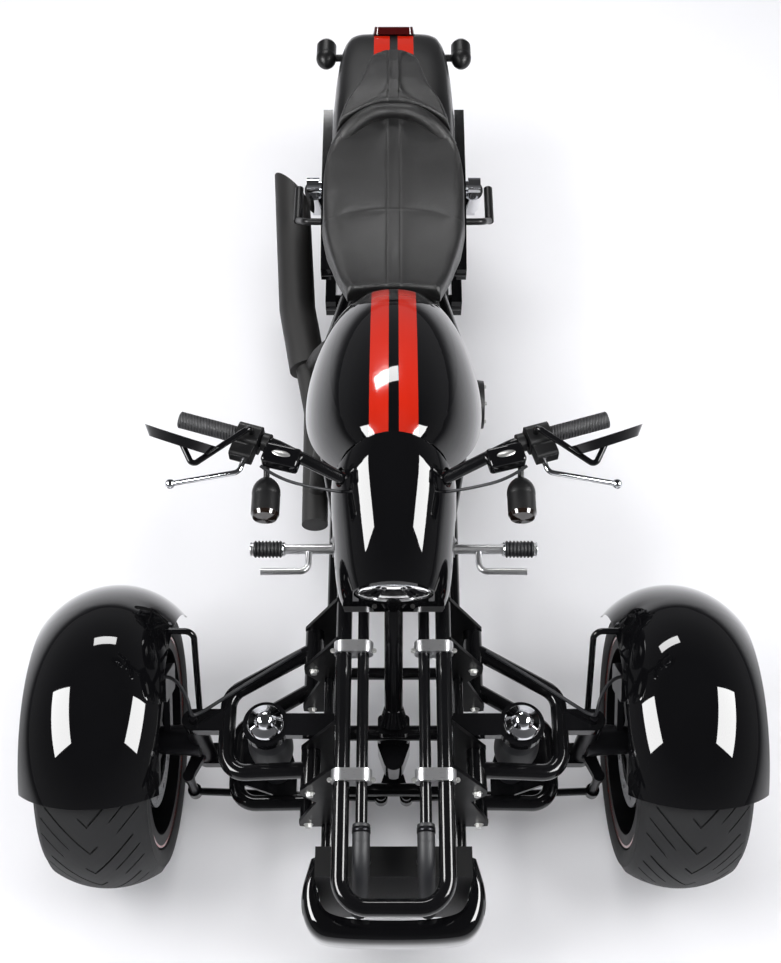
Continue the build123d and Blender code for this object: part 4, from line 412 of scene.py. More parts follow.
class TRIKE_OT_finishes(bpy.types.Operator):
    """Make the finishes and give each CAD piece its own"""

    bl_idname = "trike.finishes"
    bl_label = "Finishes"

    def execute(self, context):
        make_finishes(context.scene.trike_paint)
        finishes = {
            "black lacquer": ("tank_cover", "headlight_cowl", "fender_front_left", "fender_front_right"),
            "black powder coat": (
                "upper_rails", "lower_rails", "upper_arms", "lower_arms", "steering_gear", "spring_mounts",
                "main_frame", "swingarm", "fender_struts", "radiator_shroud", "coolant_pipes", "handlebar",
                "mirrors",
                "pitman_arm", "tie_rod_left", "tie_rod_right",
            ),
            "matt black powder coat": ("arm_brackets",),
            "satin black enamel": ("switch_pods", "front_signals", "rear_signals", "passenger_pegs"),
            "satin fender enamel": ("rear_fender",),
            "black radiator fins": ("radiator",),
            "ribbed rubber": ("grips",),
            "black wrinkle enamel": ("engine_case", "cylinders", "airbox"),
            "matt ceramic coat": ("exhaust",),
            "black anodised aluminium": ("knuckle_left", "knuckle_right"),
            "moulded rubber": ("air_springs", "radiator_hoses", "drive_belt"),
            "polished stainless": ("pipe_clamps", "output_sprocket", "foot_controls"),
            "chrome plate": ("rear_shocks", "hand_levers"),
            "red acrylic lens": ("tail_lamp",),
            "clear polycarbonate": ("headlight",),
            "black cowhide": ("seat", "pillion"),
            "tyre rubber": ("tyre_front_left", "tyre_front_right", "tyre_rear"),
        }
        for finish, nodes in finishes.items():
            for node in nodes:
                mesh = NODES[node].data
                mesh.materials.clear()
                mesh.materials.append(finish_of(finish))
        return {"FINISHED"}


DISC_FROM, DISC_TO = 0.1065, 0.1505  # inner and outer radius of the swept ring of a brake disc
DISC_LOW, DISC_HIGH = -0.0975, -0.0885  # its place along the axle from the wheel's middle, outboard positive
STRIPE_R = 0.2355  # middle radius of the line on the rim
STRIPE_HALF = 0.0024
RIM_HALF = 0.111
RIM_STEPS = 160
HUB_CAP = (78, 30, 7)  # place along the axle, radius and thickness of a hub cap, mm
HUB_SCREWS = (5, 38, 9)  # count, circle radius mm, and flats mm, which is also their set-back from the cap
WHEELS = (  # name, sign of the outboard side
    ("front_left", 1),
    ("front_right", -1),
    ("rear", 1),
)


class TRIKE_OT_wheels(bpy.types.Operator):
    """Paint the wheels, bare the brake discs and line the rims"""

    bl_idname = "trike.wheels"
    bl_label = "Wheels"

    def execute(self, context):
        for name, out in WHEELS:
            lo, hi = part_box("tyre_" + name)
            hub = (lo + hi) / 2
            mesh = NODES["wheel_" + name].data
            mesh.materials.clear()
            mesh.materials.append(finish_of("matt black powder coat"))
            mesh.materials.append(finish_of("ground brake steel"))
            for polygon in mesh.polygons:
                reach = hypot(polygon.center.y - hub.y, polygon.center.z - hub.z)
                along = (polygon.center.x - hub.x) * out
                if DISC_FROM < reach < DISC_TO and DISC_LOW < along < DISC_HIGH:
                    polygon.material_index = 1
            verts, faces = [], []
            for side in (-1, 1):
                start = len(verts)
                x = hub.x + side * (RIM_HALF + 0.25 * MM)
                for step in range(RIM_STEPS):
                    turn = 2 * pi * step / RIM_STEPS
                    for radius in (STRIPE_R - STRIPE_HALF, STRIPE_R + STRIPE_HALF):
                        verts.append((x, hub.y + radius * cos(turn), hub.z + radius * sin(turn)))
                faces += grid_faces(RIM_STEPS, 2, start, ring=True)
            add_shape("rim_line_" + name, verts, faces, ["red lacquer"], "wheel_" + name)
            shape = bmesh.new()
            place, radius, thick = (size * MM for size in HUB_CAP)
            cap = hub + Vector((out * place, 0, 0))
            add_disc(shape, cap, (out, 0, 0), radius, thick, 0.86, 40)
            count, circle, flats = HUB_SCREWS
            for step in range(count):
                turn = 2 * pi * step / count
                screw = cap + at_mm(-out, flats, circle * cos(turn), circle * sin(turn))
                add_screw(shape, screw, (out, 0, 0), flats * MM)
            add_built("hub_cap_" + name, shape, ["zinc plate"], "wheel_" + name, smooth=False)
        return {"FINISHED"}


SHOULDER_DROP = 31 * MM
SHOULDER_IN = 12 * MM
WALL = (  # mm in from the tyre's half width, radius in mm: outer face from the shoulder to the bead
    (6.5, 285.0),
    (3.2, 279.6),
    (2.0, 279.2),
    (1.8, 277.0),
    (2.0, 276.2),
    (0.5, 268.0),
    (0.4, 261.0),
    (2.4, 251.5),
    (6.6, 243.3),
    (18.8, 242.3),
    (18.8, 229.0),
)
GROOVES = (  # start round the tyre as a share of a pitch, width mm, from and to across in mm, side
    (0.000, 7.0, -18, 90, 1),
    (0.330, 5.0, 44, 101, 1),
    (0.660, 5.0, 60, 104, 1),
    (0.500, 7.0, -18, 90, -1),
    (0.830, 5.0, 44, 101, -1),
    (0.160, 5.0, 60, 104, -1),
)
GROOVE_WALL = 1.1 * MM
GROOVE_RAMP = 5 * MM


def tread_rows(pitches, round_length):
    """Places round a tyre, in metres, of each groove's four edge lines, with the groove each line floors."""
    pitch = round_length / pitches
    rows = []
    for repeat in range(pitches):
        for number, (start, width, _, _, _) in enumerate(GROOVES):
            edge = (repeat + start) * pitch
            rows.append((edge, None))
            rows.append((edge + GROOVE_WALL, number))
            rows.append((edge + width * MM - GROOVE_WALL, number))
            rows.append((edge + width * MM, None))
    return sorted(rows, key=lambda row: row[0])


class TRIKE_OT_tyres(bpy.types.Operator):
    """Cut the swept tread into the tyres"""

    bl_idname = "trike.tyres"
    bl_label = "Tyres"

    def execute(self, context):
        tread = context.scene.trike_tread
        for name, _ in WHEELS:
            lo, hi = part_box("tyre_" + name)
            hub = (lo + hi) / 2
            radius = (hi.z - lo.z) / 2
            half = (hi.x - lo.x) / 2
            crown = half - SHOULDER_IN
            arc = (crown**2 + SHOULDER_DROP**2) / (2 * SHOULDER_DROP)
            rows = tread_rows(tread.pitches, 2 * pi * radius)
            across = [crown * step / 30 for step in range(-30, 31)]
            wall = [(half - drop * MM, reach * MM) for drop, reach in WALL]
            verts = []
            for place, groove in rows:
                ring = [(-x, reach, crown) for x, reach in reversed(wall)]
                for x in across:
                    reach = radius - arc + sqrt(arc**2 - x**2)
                    if groove is not None:
                        _, _, low, high, side = GROOVES[groove]
                        inside = min(x * side - low * MM, high * MM - x * side)
                        reach -= tread.depth * min(max(inside / GROOVE_RAMP, 0), 1)
                    ring.append((x, reach, abs(x)))
                ring += [(x, reach, crown) for x, reach in wall]
                for x, reach, trail in ring:
                    turn = (place - tread.sweep * trail) / radius
                    verts.append((hub.x + x, hub.y - reach * sin(turn), hub.z + reach * cos(turn)))
            columns = len(across) + 2 * len(wall)
            faces = grid_faces(len(rows), columns, ring=True)
            for row in range(len(rows)):
                here, there = row * columns, (row + 1) % len(rows) * columns
                faces.append((here + columns - 1, here, there, there + columns - 1))
            tyre = add_shape("tread_" + name, verts, faces, ["tyre rubber"], "wheel_" + name)
            tyre.data.set_sharp_from_angle(angle=radians(38))
            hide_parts("tyre_" + name)
        return {"FINISHED"}


# node, rows, front and back bow mm, half of the middle band mm, cross seam share or None,
# dish mm, fuller nose mm
PADS = (
    ("seat", 76, 19, 97, 17, 0.50, 9, 16),
    ("pillion", 44, 65, 24, 15, None, -5, 0),
)
# name, pad it follows, edge at the middle and its bow mm, bow taken at mm, reach mm,
# below the top mm, radius mm
ROLLS = (
    ("seat_bolster", "seat", 802, 95, 170, 147, 10, 21),
    ("seat_piping", "pillion", 823, 66, 150, 138, 26, 6.5),
)
PAD_COLUMNS = (  # shares of the way from seam to edge
    0.06, 0.14, 0.22, 0.30, 0.38, 0.46, 0.54, 0.62, 0.69, 0.76, 0.82, 0.88, 0.925, 0.965, 1.0,
)
SEAM_EDGE = 2.6 * MM
SWELL_PRESSURE = 4.0
SWELL_FRAMES = 20
STITCH_BESIDE = 3.4  # a row of stitches from its seam, mm
STITCH_MARGINS = (26, 60)  # bare leather before the first stitch and in all, mm


def pad_depth(surface, y, middle):
    """Top and underside of a pad's solid at one place along it, or at the nearest place toward its middle."""
    for nearer in range(12):
        place = y + (middle - y) * nearer / 60
        for step in range(19):
            top = surface.ray_cast(Vector((step * 8 * MM, place, 2.0)), Vector((0, 0, -1)))[0]
            base = surface.ray_cast(Vector((step * 8 * MM, place, 0.2)), Vector((0, 0, 1)))[0]
            if top is not None and base is not None:
                return top.z, base.z
    raise ValueError("no pad at %.3f" % y)


def pad_half(surface, y, low, high):
    """Half width of a pad's solid at one place along the trike."""
    hits = []
    for step in range(1, 16):
        z = low + (high - low) * step / 16
        hit = surface.ray_cast(Vector((1.0, y, z)), Vector((-1, 0, 0)))[0]
        if hit is not None and hit.x > 0:
            hits.append(hit.x)
    return max(hits)


def pad_points(node, rows, bows, band, cross, dish, nose, sewing):
    """Rings of points round a pad, row by row, and the numbers of those that its seams and its base hold."""
    surface = surface_of(NODES[node].data)
    lo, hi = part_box(node)
    first, last = lo.y + bows[0] + 1 * MM, hi.y - 1 * MM
    margin, centre = 1.5 * MM, (lo.y + hi.y) / 2
    verts, held = [], []
    shares = [row / (rows - 1) for row in range(rows)]
    if cross is not None:
        beside = SEAM_EDGE / (last - first)
        shares = [share for share in shares if abs(share - cross) > 2 * beside]
        shares += [cross - beside, cross, cross + beside]
    shares.sort()
    for row, share in enumerate(shares):
        middle = first + (last - first) * share
        bow = bows[0] + (bows[1] - bows[0]) * share**1.6
        side_y = min(max(middle - bow, lo.y + margin), hi.y - margin)
        near = [min(max(side_y + ease * MM, lo.y + margin), hi.y - margin) for ease in (-24, -12, 0, 12, 24)]
        half = sum(pad_half(surface, place, lo.z, hi.z) for place in near) / 5
        half += nose * max(1 - share / 0.25, 0) - 1 * MM
        right = [0.0, band / 2, band - SEAM_EDGE, band, band + SEAM_EDGE]
        right += [band + SEAM_EDGE + (half - band - SEAM_EDGE) * c for c in PAD_COLUMNS]
        across = [-x for x in reversed(right[1:])] + right
        top, base = [], []
        for x in across:
            y = middle - bow * (x / half) ** 2
            low = pad_depth(surface, y, centre)[1]
            near = [min(max(y + ease * MM, lo.y + 2 * MM), hi.y - 2 * MM) for ease in (-36, -18, 0, 18, 36)]
            high = sum(pad_depth(surface, place, centre)[0] for place in near) / 5
            roll = min(sewing.roll, 0.42 * (high - low))
            ends = min(middle - first, last - middle)
            over_side = max(1 - (half - abs(x)) / roll, 0)
            over_end = max(1 - ends / (0.55 * roll), 0)
            over = min(hypot(over_side, over_end), 1)
            z = high - roll * (1 - sqrt(1 - over**2)) - dish * (1 - (x / half) ** 2) * (1 - over)
            seam = abs(abs(x) - band) < 0.1 * MM
            if cross is not None:
                seam = seam or share == cross
            if seam:
                z -= sewing.pull
                held.append(len(verts) + len(top))
            top.append((x, y, z))
            base.append((x, y, low + 0.6 * MM))
        sides = [tuple(a + (b - a) * t for a, b in zip(top[-1], base[-1])) for t in (0.35, 0.7)]
        mirror = [tuple(a + (b - a) * t for a, b in zip(top[0], base[0])) for t in (0.7, 0.35)]
        ring = top + sides + list(reversed(base)) + mirror
        count = len(ring)
        base_from = len(top) + len(sides)
        held += [len(verts) + i for i in range(base_from, base_from + len(base))]
        if row in (0, len(shares) - 1):
            held += [len(verts) + i for i in range(count)]
        verts += ring
    return verts, held, count, len(across)


def swell(piece, held, cap):
    """Blows a pad up against its seams as cloth under pressure, and keeps each point within the cap."""
    scene = bpy.context.scene
    group = piece.vertex_groups.new(name="held")
    group.add(sorted(set(held)), 1.0, "REPLACE")
    cloth = piece.modifiers.new("Cloth", "CLOTH")
    cloth.settings.vertex_group_mass = "held"
    cloth.settings.use_pressure = True
    cloth.settings.uniform_pressure_force = SWELL_PRESSURE
    cloth.settings.effector_weights.gravity = 0
    cloth.point_cache.frame_start = 1
    cloth.point_cache.frame_end = SWELL_FRAMES
    for number in range(1, SWELL_FRAMES + 1):
        scene.frame_set(number)
    shape = piece.evaluated_get(bpy.context.evaluated_depsgraph_get()).data
    moved = [v.co.copy() for v in shape.vertices]
    piece.modifiers.remove(cloth)
    scene.frame_set(1)
    farthest = 0.0
    for vertex, place in zip(piece.data.vertices, moved):
        step = place - vertex.co
        farthest = max(farthest, step.length)
        vertex.co += step * min(1, cap / max(step.length, 1e-9))
    if farthest < 0.2 * MM:
        raise ValueError(piece.name + " did not swell")


def add_stitches(name, surface, lines, finish, body):
    """Short thread stitches laid on a surface along lines of points seen from above."""
    verts, faces = [], []
    for line in lines:
        for here, there in zip(line[::2], line[1::2]):
            a = surface.ray_cast(Vector((*here, 2.0)), Vector((0, 0, -1)))
            b = surface.ray_cast(Vector((*there, 2.0)), Vector((0, 0, -1)))
            if a[0] is None or b[0] is None:
                continue
            along = (b[0] - a[0]).normalized()
            across = along.cross(a[1]).normalized() * 0.55 * MM
            rise = a[1] * 0.5 * MM
            start = len(verts)
            for end in (a[0], b[0]):
                verts += [end - across, end - across + rise, end + across + rise, end + across]
            for i in range(4):
                j = (i + 1) % 4
                faces.append((start + i, start + j, start + 4 + j, start + 4 + i))
            faces += [(start + 3, start + 2, start + 1, start), (start + 4, start + 5, start + 6, start + 7)]
    return add_shape(name, verts, faces, [finish], body, smooth=False)


class TRIKE_OT_upholstery(bpy.types.Operator):
    """Sew the seat and the pillion pad, swell them and stitch their seams"""

    bl_idname = "trike.upholstery"
    bl_label = "Upholstery"

    def execute(self, context):
        sewing = context.scene.trike_seat
        for node, rows, front_bow, back_bow, band, cross, dish, nose in PADS:
            bows = (front_bow * MM, back_bow * MM)
            sizes = (dish * MM, nose * MM, sewing)
            verts, held, count, width = pad_points(node, rows, bows, band * MM, cross, *sizes)
            rows = len(verts) // count
            faces = []
            for row in range(rows - 1):
                for i in range(count):
                    j = (i + 1) % count
                    this, after = row * count, (row + 1) * count
                    faces.append((this + j, this + i, after + i, after + j))
            for row, order in ((0, 1), (rows - 1, -1)):
                start = row * count
                for i in range(width - 1):
                    under = start + width + 2 + (width - 1 - i)
                    quad = (start + i, start + i + 1, under - 1, under)
                    faces.append(quad[::order])
            pad = add_shape(node + "_leather", verts, faces, ["black cowhide"], "chassis")
            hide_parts(node)
            swell(pad, held, sewing.swell)
            smooth = pad.modifiers.new("Subdivision", "SUBSURF")
            smooth.levels = 1
            smooth.render_levels = 1
            surface = surface_of(pad.data)
            lo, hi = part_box(node)
            before, bare = (size * MM for size in STITCH_MARGINS)
            steps = int((hi.y - lo.y - bare) / (sewing.stitch / 2))
            start = lo.y + bows[0] + before
            lines = []
            for seam in (-band, band):
                for x in (seam - STITCH_BESIDE, seam + STITCH_BESIDE):
                    lines.append([(x * MM, start + i * sewing.stitch / 2) for i in range(steps)])
            add_stitches(node + "_stitches", surface, lines, "waxed thread", "chassis")
        for name, node, edge, bow, bow_at, reach, below, radius in ROLLS:
            surface = surface_of(NODES[node].data)
            lo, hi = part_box(node)
            points = []
            for step in range(-12, 13):
                x = reach * step / 12
                y = edge - bow * (x / bow_at) ** 2
                z = pad_depth(surface, y * MM, (lo.y + hi.y) / 2)[0] / MM - below - 34 * abs(step / 12) ** 6
                points.append(Vector((x, y, z)) * MM)
            add_tube(name, points, radius * MM, "black cowhide", "chassis")
        return {"FINISHED"}


TAIL_ROWS = (  # along the trike, half width and top in mm
    (623, 165.5, 586), (660, 165.5, 618), (700, 165.5, 643), (750, 165.5, 667), (800, 165.5, 681),
    (850, 165.5, 688.5), (890, 165.5, 688.5), (930, 164, 684), (980, 162, 678.5), (1030, 159.5, 672.5),
    (1085, 155, 666), (1130, 149, 660.5), (1160, 142.5, 655), (1185, 135, 646), (1205, 126, 632),
    (1222, 113, 617.5), (1235, 96, 607), (1242, 78, 600), (1244.5, 60, 596),
)
TAIL_HEM = 490
TAIL_SHEET = 5
TAIL_SQUARE = 7.0  # how square the shoulders are
TAIL_COLUMNS = 61
STRIPES = (  # name, piece or node, inner and outer edge mm, from and to along the trike mm
    ("cover", "tank_cover", 11, 52, -294, 197),
    ("tail", "tail_shell", 11, 55, 1070, 1176),
)


def arch(y, half, top):
    """Points of an upturned U with rounded shoulders, from its left hem over the top to its right."""
    points = []
    for step in range(TAIL_COLUMNS):
        turn = pi * step / (TAIL_COLUMNS - 1)
        x = half * (-1 if cos(turn) > 0 else 1) * abs(cos(turn)) ** (2 / TAIL_SQUARE)
        z = TAIL_HEM + (top - TAIL_HEM) * sin(turn) ** (2 / TAIL_SQUARE)
        points.append(Vector((x, y, z)) * MM)
    return points


class TRIKE_OT_tail(bpy.types.Operator):
    """Draw the rear fender as a pressed sheet with rounded shoulders"""

    bl_idname = "trike.tail"
    bl_label = "Tail"

    def execute(self, context):
        rings = [arch(*row) for row in TAIL_ROWS]
        inner = [(y, half - TAIL_SHEET, top - TAIL_SHEET) for y, half, top in TAIL_ROWS[:-2]]
        rings += [arch(*row) for row in reversed(inner)]
        verts = [point for ring in rings for point in ring]
        faces = grid_faces(len(rings), TAIL_COLUMNS, ring=True)
        shell = add_shape("tail_shell", verts, faces, ["satin fender enamel"], "chassis")
        shell.data.set_sharp_from_angle(angle=radians(50))
        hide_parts("rear_fender")
        return {"FINISHED"}


class TRIKE_OT_stripes(bpy.types.Operator):
    """Lay the pair of red stripes on the cover and the tail"""

    bl_idname = "trike.stripes"
    bl_label = "Stripes"

    def execute(self, context):
        for name, node, inner, outer, start, stop in STRIPES:
            mesh = NODES[node].data if node in NODES else bpy.data.objects[node].data
            surface = surface_of(mesh)
            for side_name, side in SIDES:
                x_span = sorted((side * inner * MM, side * outer * MM))
                drape(
                    "stripe_%s_%s" % (name, side_name), surface, x_span, (start * MM, stop * MM), 0.35 * MM,
                    "red lacquer", "chassis",
                )
        return {"FINISHED"}


class TRIKE_OT_lamps(bpy.types.Operator):
    """Open up the headlamp, and give mirrors and signals their glass"""

    bl_idname = "trike.lamps"
    bl_label = "Lamps"

    def execute(self, context):
        lo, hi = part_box("headlight")
        middle = (lo + hi) / 2
        base = Vector((middle.x, 0, middle.z))
        rear, front = hi.y - 3 * MM, lo.y + 12 * MM
        bowl = [(r / 12, rear - (rear - front) * (r / 12) ** 2) for r in range(1, 13)]
        axes = [((hi.x - lo.x) / 2, 0, 0), (0, 0, (hi.z - lo.z) / 2), (0, 1, 0)]
        within = [(size * 0.95, y) for size, y in bowl]
        chrome = ("chrome plate", "steering", "polished_steel")
        reflector = add_turned("lamp_reflector", within, base, axes, *chrome)
        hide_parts("headlight")
        shell = [(1.0, hi.y), (1.0, front - 1 * MM), (0.93, front - 3 * MM), (0.93, front + 1 * MM)]
        add_turned("lamp_bezel", shell, base, axes, "black lacquer", "steering", "gloss_black")
        dome = [(r / 12, lo.y + 10 * MM * (r / 12) ** 2) for r in range(13)]
        back = [(r / 12, lo.y + 2.5 * MM + 8.5 * MM * (r / 12) ** 2) for r in range(12, -1, -1)]
        glass = [(size * 0.94, y) for size, y in dome + back]
        add_turned("lamp_lens", glass, base, axes, "clear polycarbonate", "steering", "lamp_glass")
        shape = bmesh.new()
        bulb = Vector((middle.x, rear - 2 * MM, middle.z))
        add_disc(shape, bulb, (0, -1, 0), 15 * MM, 10 * MM, 0.9, 32)
        add_disc(shape, bulb + Vector((0, -10 * MM, 0)), (0, -1, 0), 9 * MM, 14 * MM, 0.95, 32)
        tip = Matrix.Translation(bulb + Vector((0, -24 * MM, 0)))
        bmesh.ops.create_uvsphere(shape, u_segments=24, v_segments=12, radius=9 * MM, matrix=tip)
        add_built("lamp_bulb", shape, ["silvered glass"], "steering")
        # Mirror glass is the flat back of each shell
        mesh = NODES["mirrors"].data
        mesh.materials.append(finish_of("silvered glass"))
        for polygon in mesh.polygons:
            side = 1 if polygon.center.x > 0 else -1
            facing = Vector((-side * 0.3, 0.82, 0.48)).normalized()
            if polygon.normal.dot(facing) > 0.97 and polygon.area > 4e-5:
                polygon.material_index = 1
        # Signal lenses are the flat ends of the bullets
        for node, end in (("front_signals", -1), ("rear_signals", 1)):
            lo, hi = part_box(node)
            mesh = NODES[node].data
            mesh.materials.append(finish_of("smoked acrylic"))
            for polygon in mesh.polygons:
                depth = hi.y - polygon.center.y if end > 0 else polygon.center.y - lo.y
                if depth < 11 * MM:
                    polygon.material_index = 1
        return {"FINISHED"}


SHROUD_RIM = ((172, -1078), (194, -1158), (172, -1226), (120, -1245))  # half outline at the lip, mm
SHROUD_HEM = ((172, -1078), (180, -1135.3), (158, -1158), (106, -1177))  # half outline at the bottom, mm
SHROUD_MOUTH = ((158.6, -1078), (158.6, -1158), (120, -1203))  # half outline of the mouth in the top, mm
HEM_Z, LIP_Z = 185, 425
SHROUD_ROWS = (  # outline, height mm, drawn in by mm
    (SHROUD_HEM, HEM_Z, 6),
    (SHROUD_HEM, HEM_Z + 1, 0),
    (SHROUD_RIM, LIP_Z, 0),
    (SHROUD_RIM, 470, 0),
    (SHROUD_RIM, 489, 2),
    (SHROUD_RIM, 499, 8),
    (SHROUD_RIM, 504, 17),
    (SHROUD_MOUTH, 504.5, -3),
    (SHROUD_MOUTH, 502, 0),
    (SHROUD_MOUTH, 470, 0),
)
SHROUD_COLUMNS = 121
SATIN_BELOW_Z = 480  # the apron is satin below the lip's shoulder, mm
INTAKE_ZS = (236, 280, 324, 368)
BLADE_SIZE = (190, 5, 3)
BLADE_STEP = 9
BLADE_TURN = -24  # degrees


def rounded(half, inset):
    """A half outline mirrored and with its corners cut round, drawn in from the front and the sides."""
    points = [Vector((x - inset, y if number == 0 else y + inset)) for number, (x, y) in enumerate(half)]
    points += [Vector((-p.x, p.y)) for p in reversed(points)]
    for _ in range(3):
        cut = [points[0]]
        for a, b in zip(points, points[1:]):
            cut += [a.lerp(b, 0.25), a.lerp(b, 0.75)]
        points = cut + [points[-1]]
    return points


def spread(points, count):
    """The same line through a given number of evenly spaced points."""
    reach = [0.0]
    for a, b in zip(points, points[1:]):
        reach.append(reach[-1] + (b - a).length)
    line, at = [], 0
    for number in range(count):
        goal = reach[-1] * number / (count - 1)
        while at < len(points) - 2 and reach[at + 1] < goal:
            at += 1
        step = (goal - reach[at]) / max(reach[at + 1] - reach[at], 1e-9)
        line.append(points[at].lerp(points[at + 1], min(step, 1)))
    return line


class TRIKE_OT_shroud(bpy.types.Operator):
    """Draw the radiator shroud as one rounded shell with louvred intakes"""

    bl_idname = "trike.shroud"
    bl_label = "Shroud"

    def execute(self, context):
        verts = []
        for outline, z, inset in SHROUD_ROWS:
            verts += [Vector((p.x, p.y, z)) * MM for p in spread(rounded(outline, inset), SHROUD_COLUMNS)]
        faces = grid_faces(len(SHROUD_ROWS), SHROUD_COLUMNS)
        coats = ["black lacquer", "satin black enamel"]
        shell = add_shape("shroud_shell", verts, faces, coats, "chassis")
        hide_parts("radiator_shroud")
        for polygon in shell.data.polygons:
            if polygon.center.z < SATIN_BELOW_Z * MM and polygon.normal.y < 0.3:
                polygon.material_index = 1
        shape = bmesh.new()
        front = SHROUD_RIM[3][1]
        lean = (SHROUD_HEM[3][1] - front) / (LIP_Z - HEM_Z)
        for z in INTAKE_ZS:
            for blade in (-1, 0):
                high = z + BLADE_STEP * blade
                place = Vector((0, front + lean * (LIP_Z - high) - 0.5, high)) * MM
                turn = Matrix.Rotation(radians(BLADE_TURN), 4, "X")
                size = Matrix.Diagonal((*(Vector(BLADE_SIZE) * MM), 1))
                bmesh.ops.create_cube(shape, size=1, matrix=Matrix.Translation(place) @ turn @ size)
        add_built("intake_blades", shape, ["satin black enamel"], "chassis", smooth=False)
        return {"FINISHED"}


BARRELS = (-884, -607)  # middle of the arms' barrels along the trike, mm
BARREL_HALF = 42.3 + 8  # to the outer face of a bracket, mm
PIVOTS = ((178, 470), (195, 225))  # x and z of the upper and the lower arm's pivot, mm
COVER_SCREWS = (  # side, x mm of the cover's face, y, z, radius of the screw circle, screws
    (1, 233.8, 130, 352, 52, 6),
    (1, 161.8, -50, 340, 36, 5),
    (-1, 147.8, 150, 345, 68, 8),
    (-1, 141.8, -50, 345, 40, 5),
)
CLAMP_YS = (-672, -949)
CLAMP_XS = (41, 128)  # screws beside the pipe and the rail, mm
CLAMP_HALF = 13
CLAMP_TOP_Z = 651
KNOB_FROM_Z = 563  # the adjuster knob on an air spring starts here, mm
SPRING_CAP = (  # radius and height of a spring's chrome cap, mm
    (39, 548), (39, 557), (35, 563), (24, 567), (21, 572), (19, 579), (13, 584), (6, 586), (0.2, 586.4),
)


class TRIKE_OT_fasteners(bpy.types.Operator):
    """Set the screws and bolts, and cap the air springs"""

    bl_idname = "trike.fasteners"
    bl_label = "Fasteners"

    def execute(self, context):
        shape = bmesh.new()
        for _, side in SIDES:
            for barrel in BARRELS:
                for pivot_x, pivot_z in PIVOTS:
                    for end in (-1, 1):
                        at = at_mm(side, pivot_x, barrel + end * BARREL_HALF, pivot_z)
                        add_screw(shape, at, (0, end, 0), 14 * MM)
            for y in CLAMP_YS:
                for x in CLAMP_XS:
                    add_screw(shape, at_mm(side, x, y - CLAMP_HALF, CLAMP_TOP_Z), (0, 0, 1), 7 * MM)
        add_built("bolts", shape, ["zinc plate"], "chassis", smooth=False)
        shape = bmesh.new()
        for side, face, y, z, radius, count in COVER_SCREWS:
            for step in range(count):
                turn = 2 * pi * step / count
                at = at_mm(side, face, y + radius * cos(turn), z + radius * sin(turn))
                add_screw(shape, at, (side, 0, 0), 8 * MM)
        add_built("cover_screws", shape, ["zinc plate"], "chassis", smooth=False)
        for name, side in SIDES:
            points = [v.co for v in NODES["spring_mounts"].data.vertices]
            knob = [point for point in points if point.z > KNOB_FROM_Z * MM and point.x * side > 0]
            middle = sum(knob, Vector()) / len(knob)
            middle.z = 0
            axes = ((MM, 0, 0), (0, MM, 0), (0, 0, MM))
            chrome = ("chrome plate", "chassis", "polished_steel", 48)
            add_turned("spring_cap_" + name, SPRING_CAP, middle, axes, *chrome)
        return {"FINISHED"}


PEGS = (262, 344, -313, 390, 16)  # inner and outer end, y, z and radius of a foot peg, mm
PEG_RIBS = 8
PEG_PITCH = 8.6
RESERVOIR_AT = (220, -427, 1008)  # middle of the left reservoir, mm
RESERVOIR_SIZE = (74, 44, 34)
RESERVOIR_EDGE = 7
RESERVOIR_TURN = 15  # degrees, as the bar sweeps
WINDOW_LONG = 2.7  # length of the oval window as a share of its width
RUNS = (  # name, body, radius mm, places on the left mm
    # Control cable: from the lever's root down beside the riser into the cowl
    ("cable", "steering", 3.2, (
        (262, -440, 1000), (226, -462, 985), (150, -462, 948), (86, -452, 912), (48, -446, 880),
        (42, -440, 850),
    )),
    # Brake hose: caliper to the top of the kingpin, then back along the upper arm
    ("brake_hose", "knuckle", 4, (
        (528, -672, 446), (508, -676, 492), (470, -706, 532), (444, -748, 538), (440, -768, 520),
        (440, -768, 496),
    )),
    ("arm_hose", "chassis", 4, (
        (440, -768, 496), (440, -768, 486), (424, -762, 482), (392, -742, 486), (330, -700, 490),
        (270, -662, 494), (206, -622, 500),
    )),
)
HOSE_R = 17
HOSE_ENDS = ((64, -1052, 630), (64, -1100, 568))  # places of the bands on the left radiator hose, mm
HOSE_RUN = (  # left radiator hose, from the coolant pipe over the radiator's top, mm
    (64, -1046, 630), (64, -1098, 629), (65, -1142, 596), (67, -1176, 548), (69, -1184, 500),
)


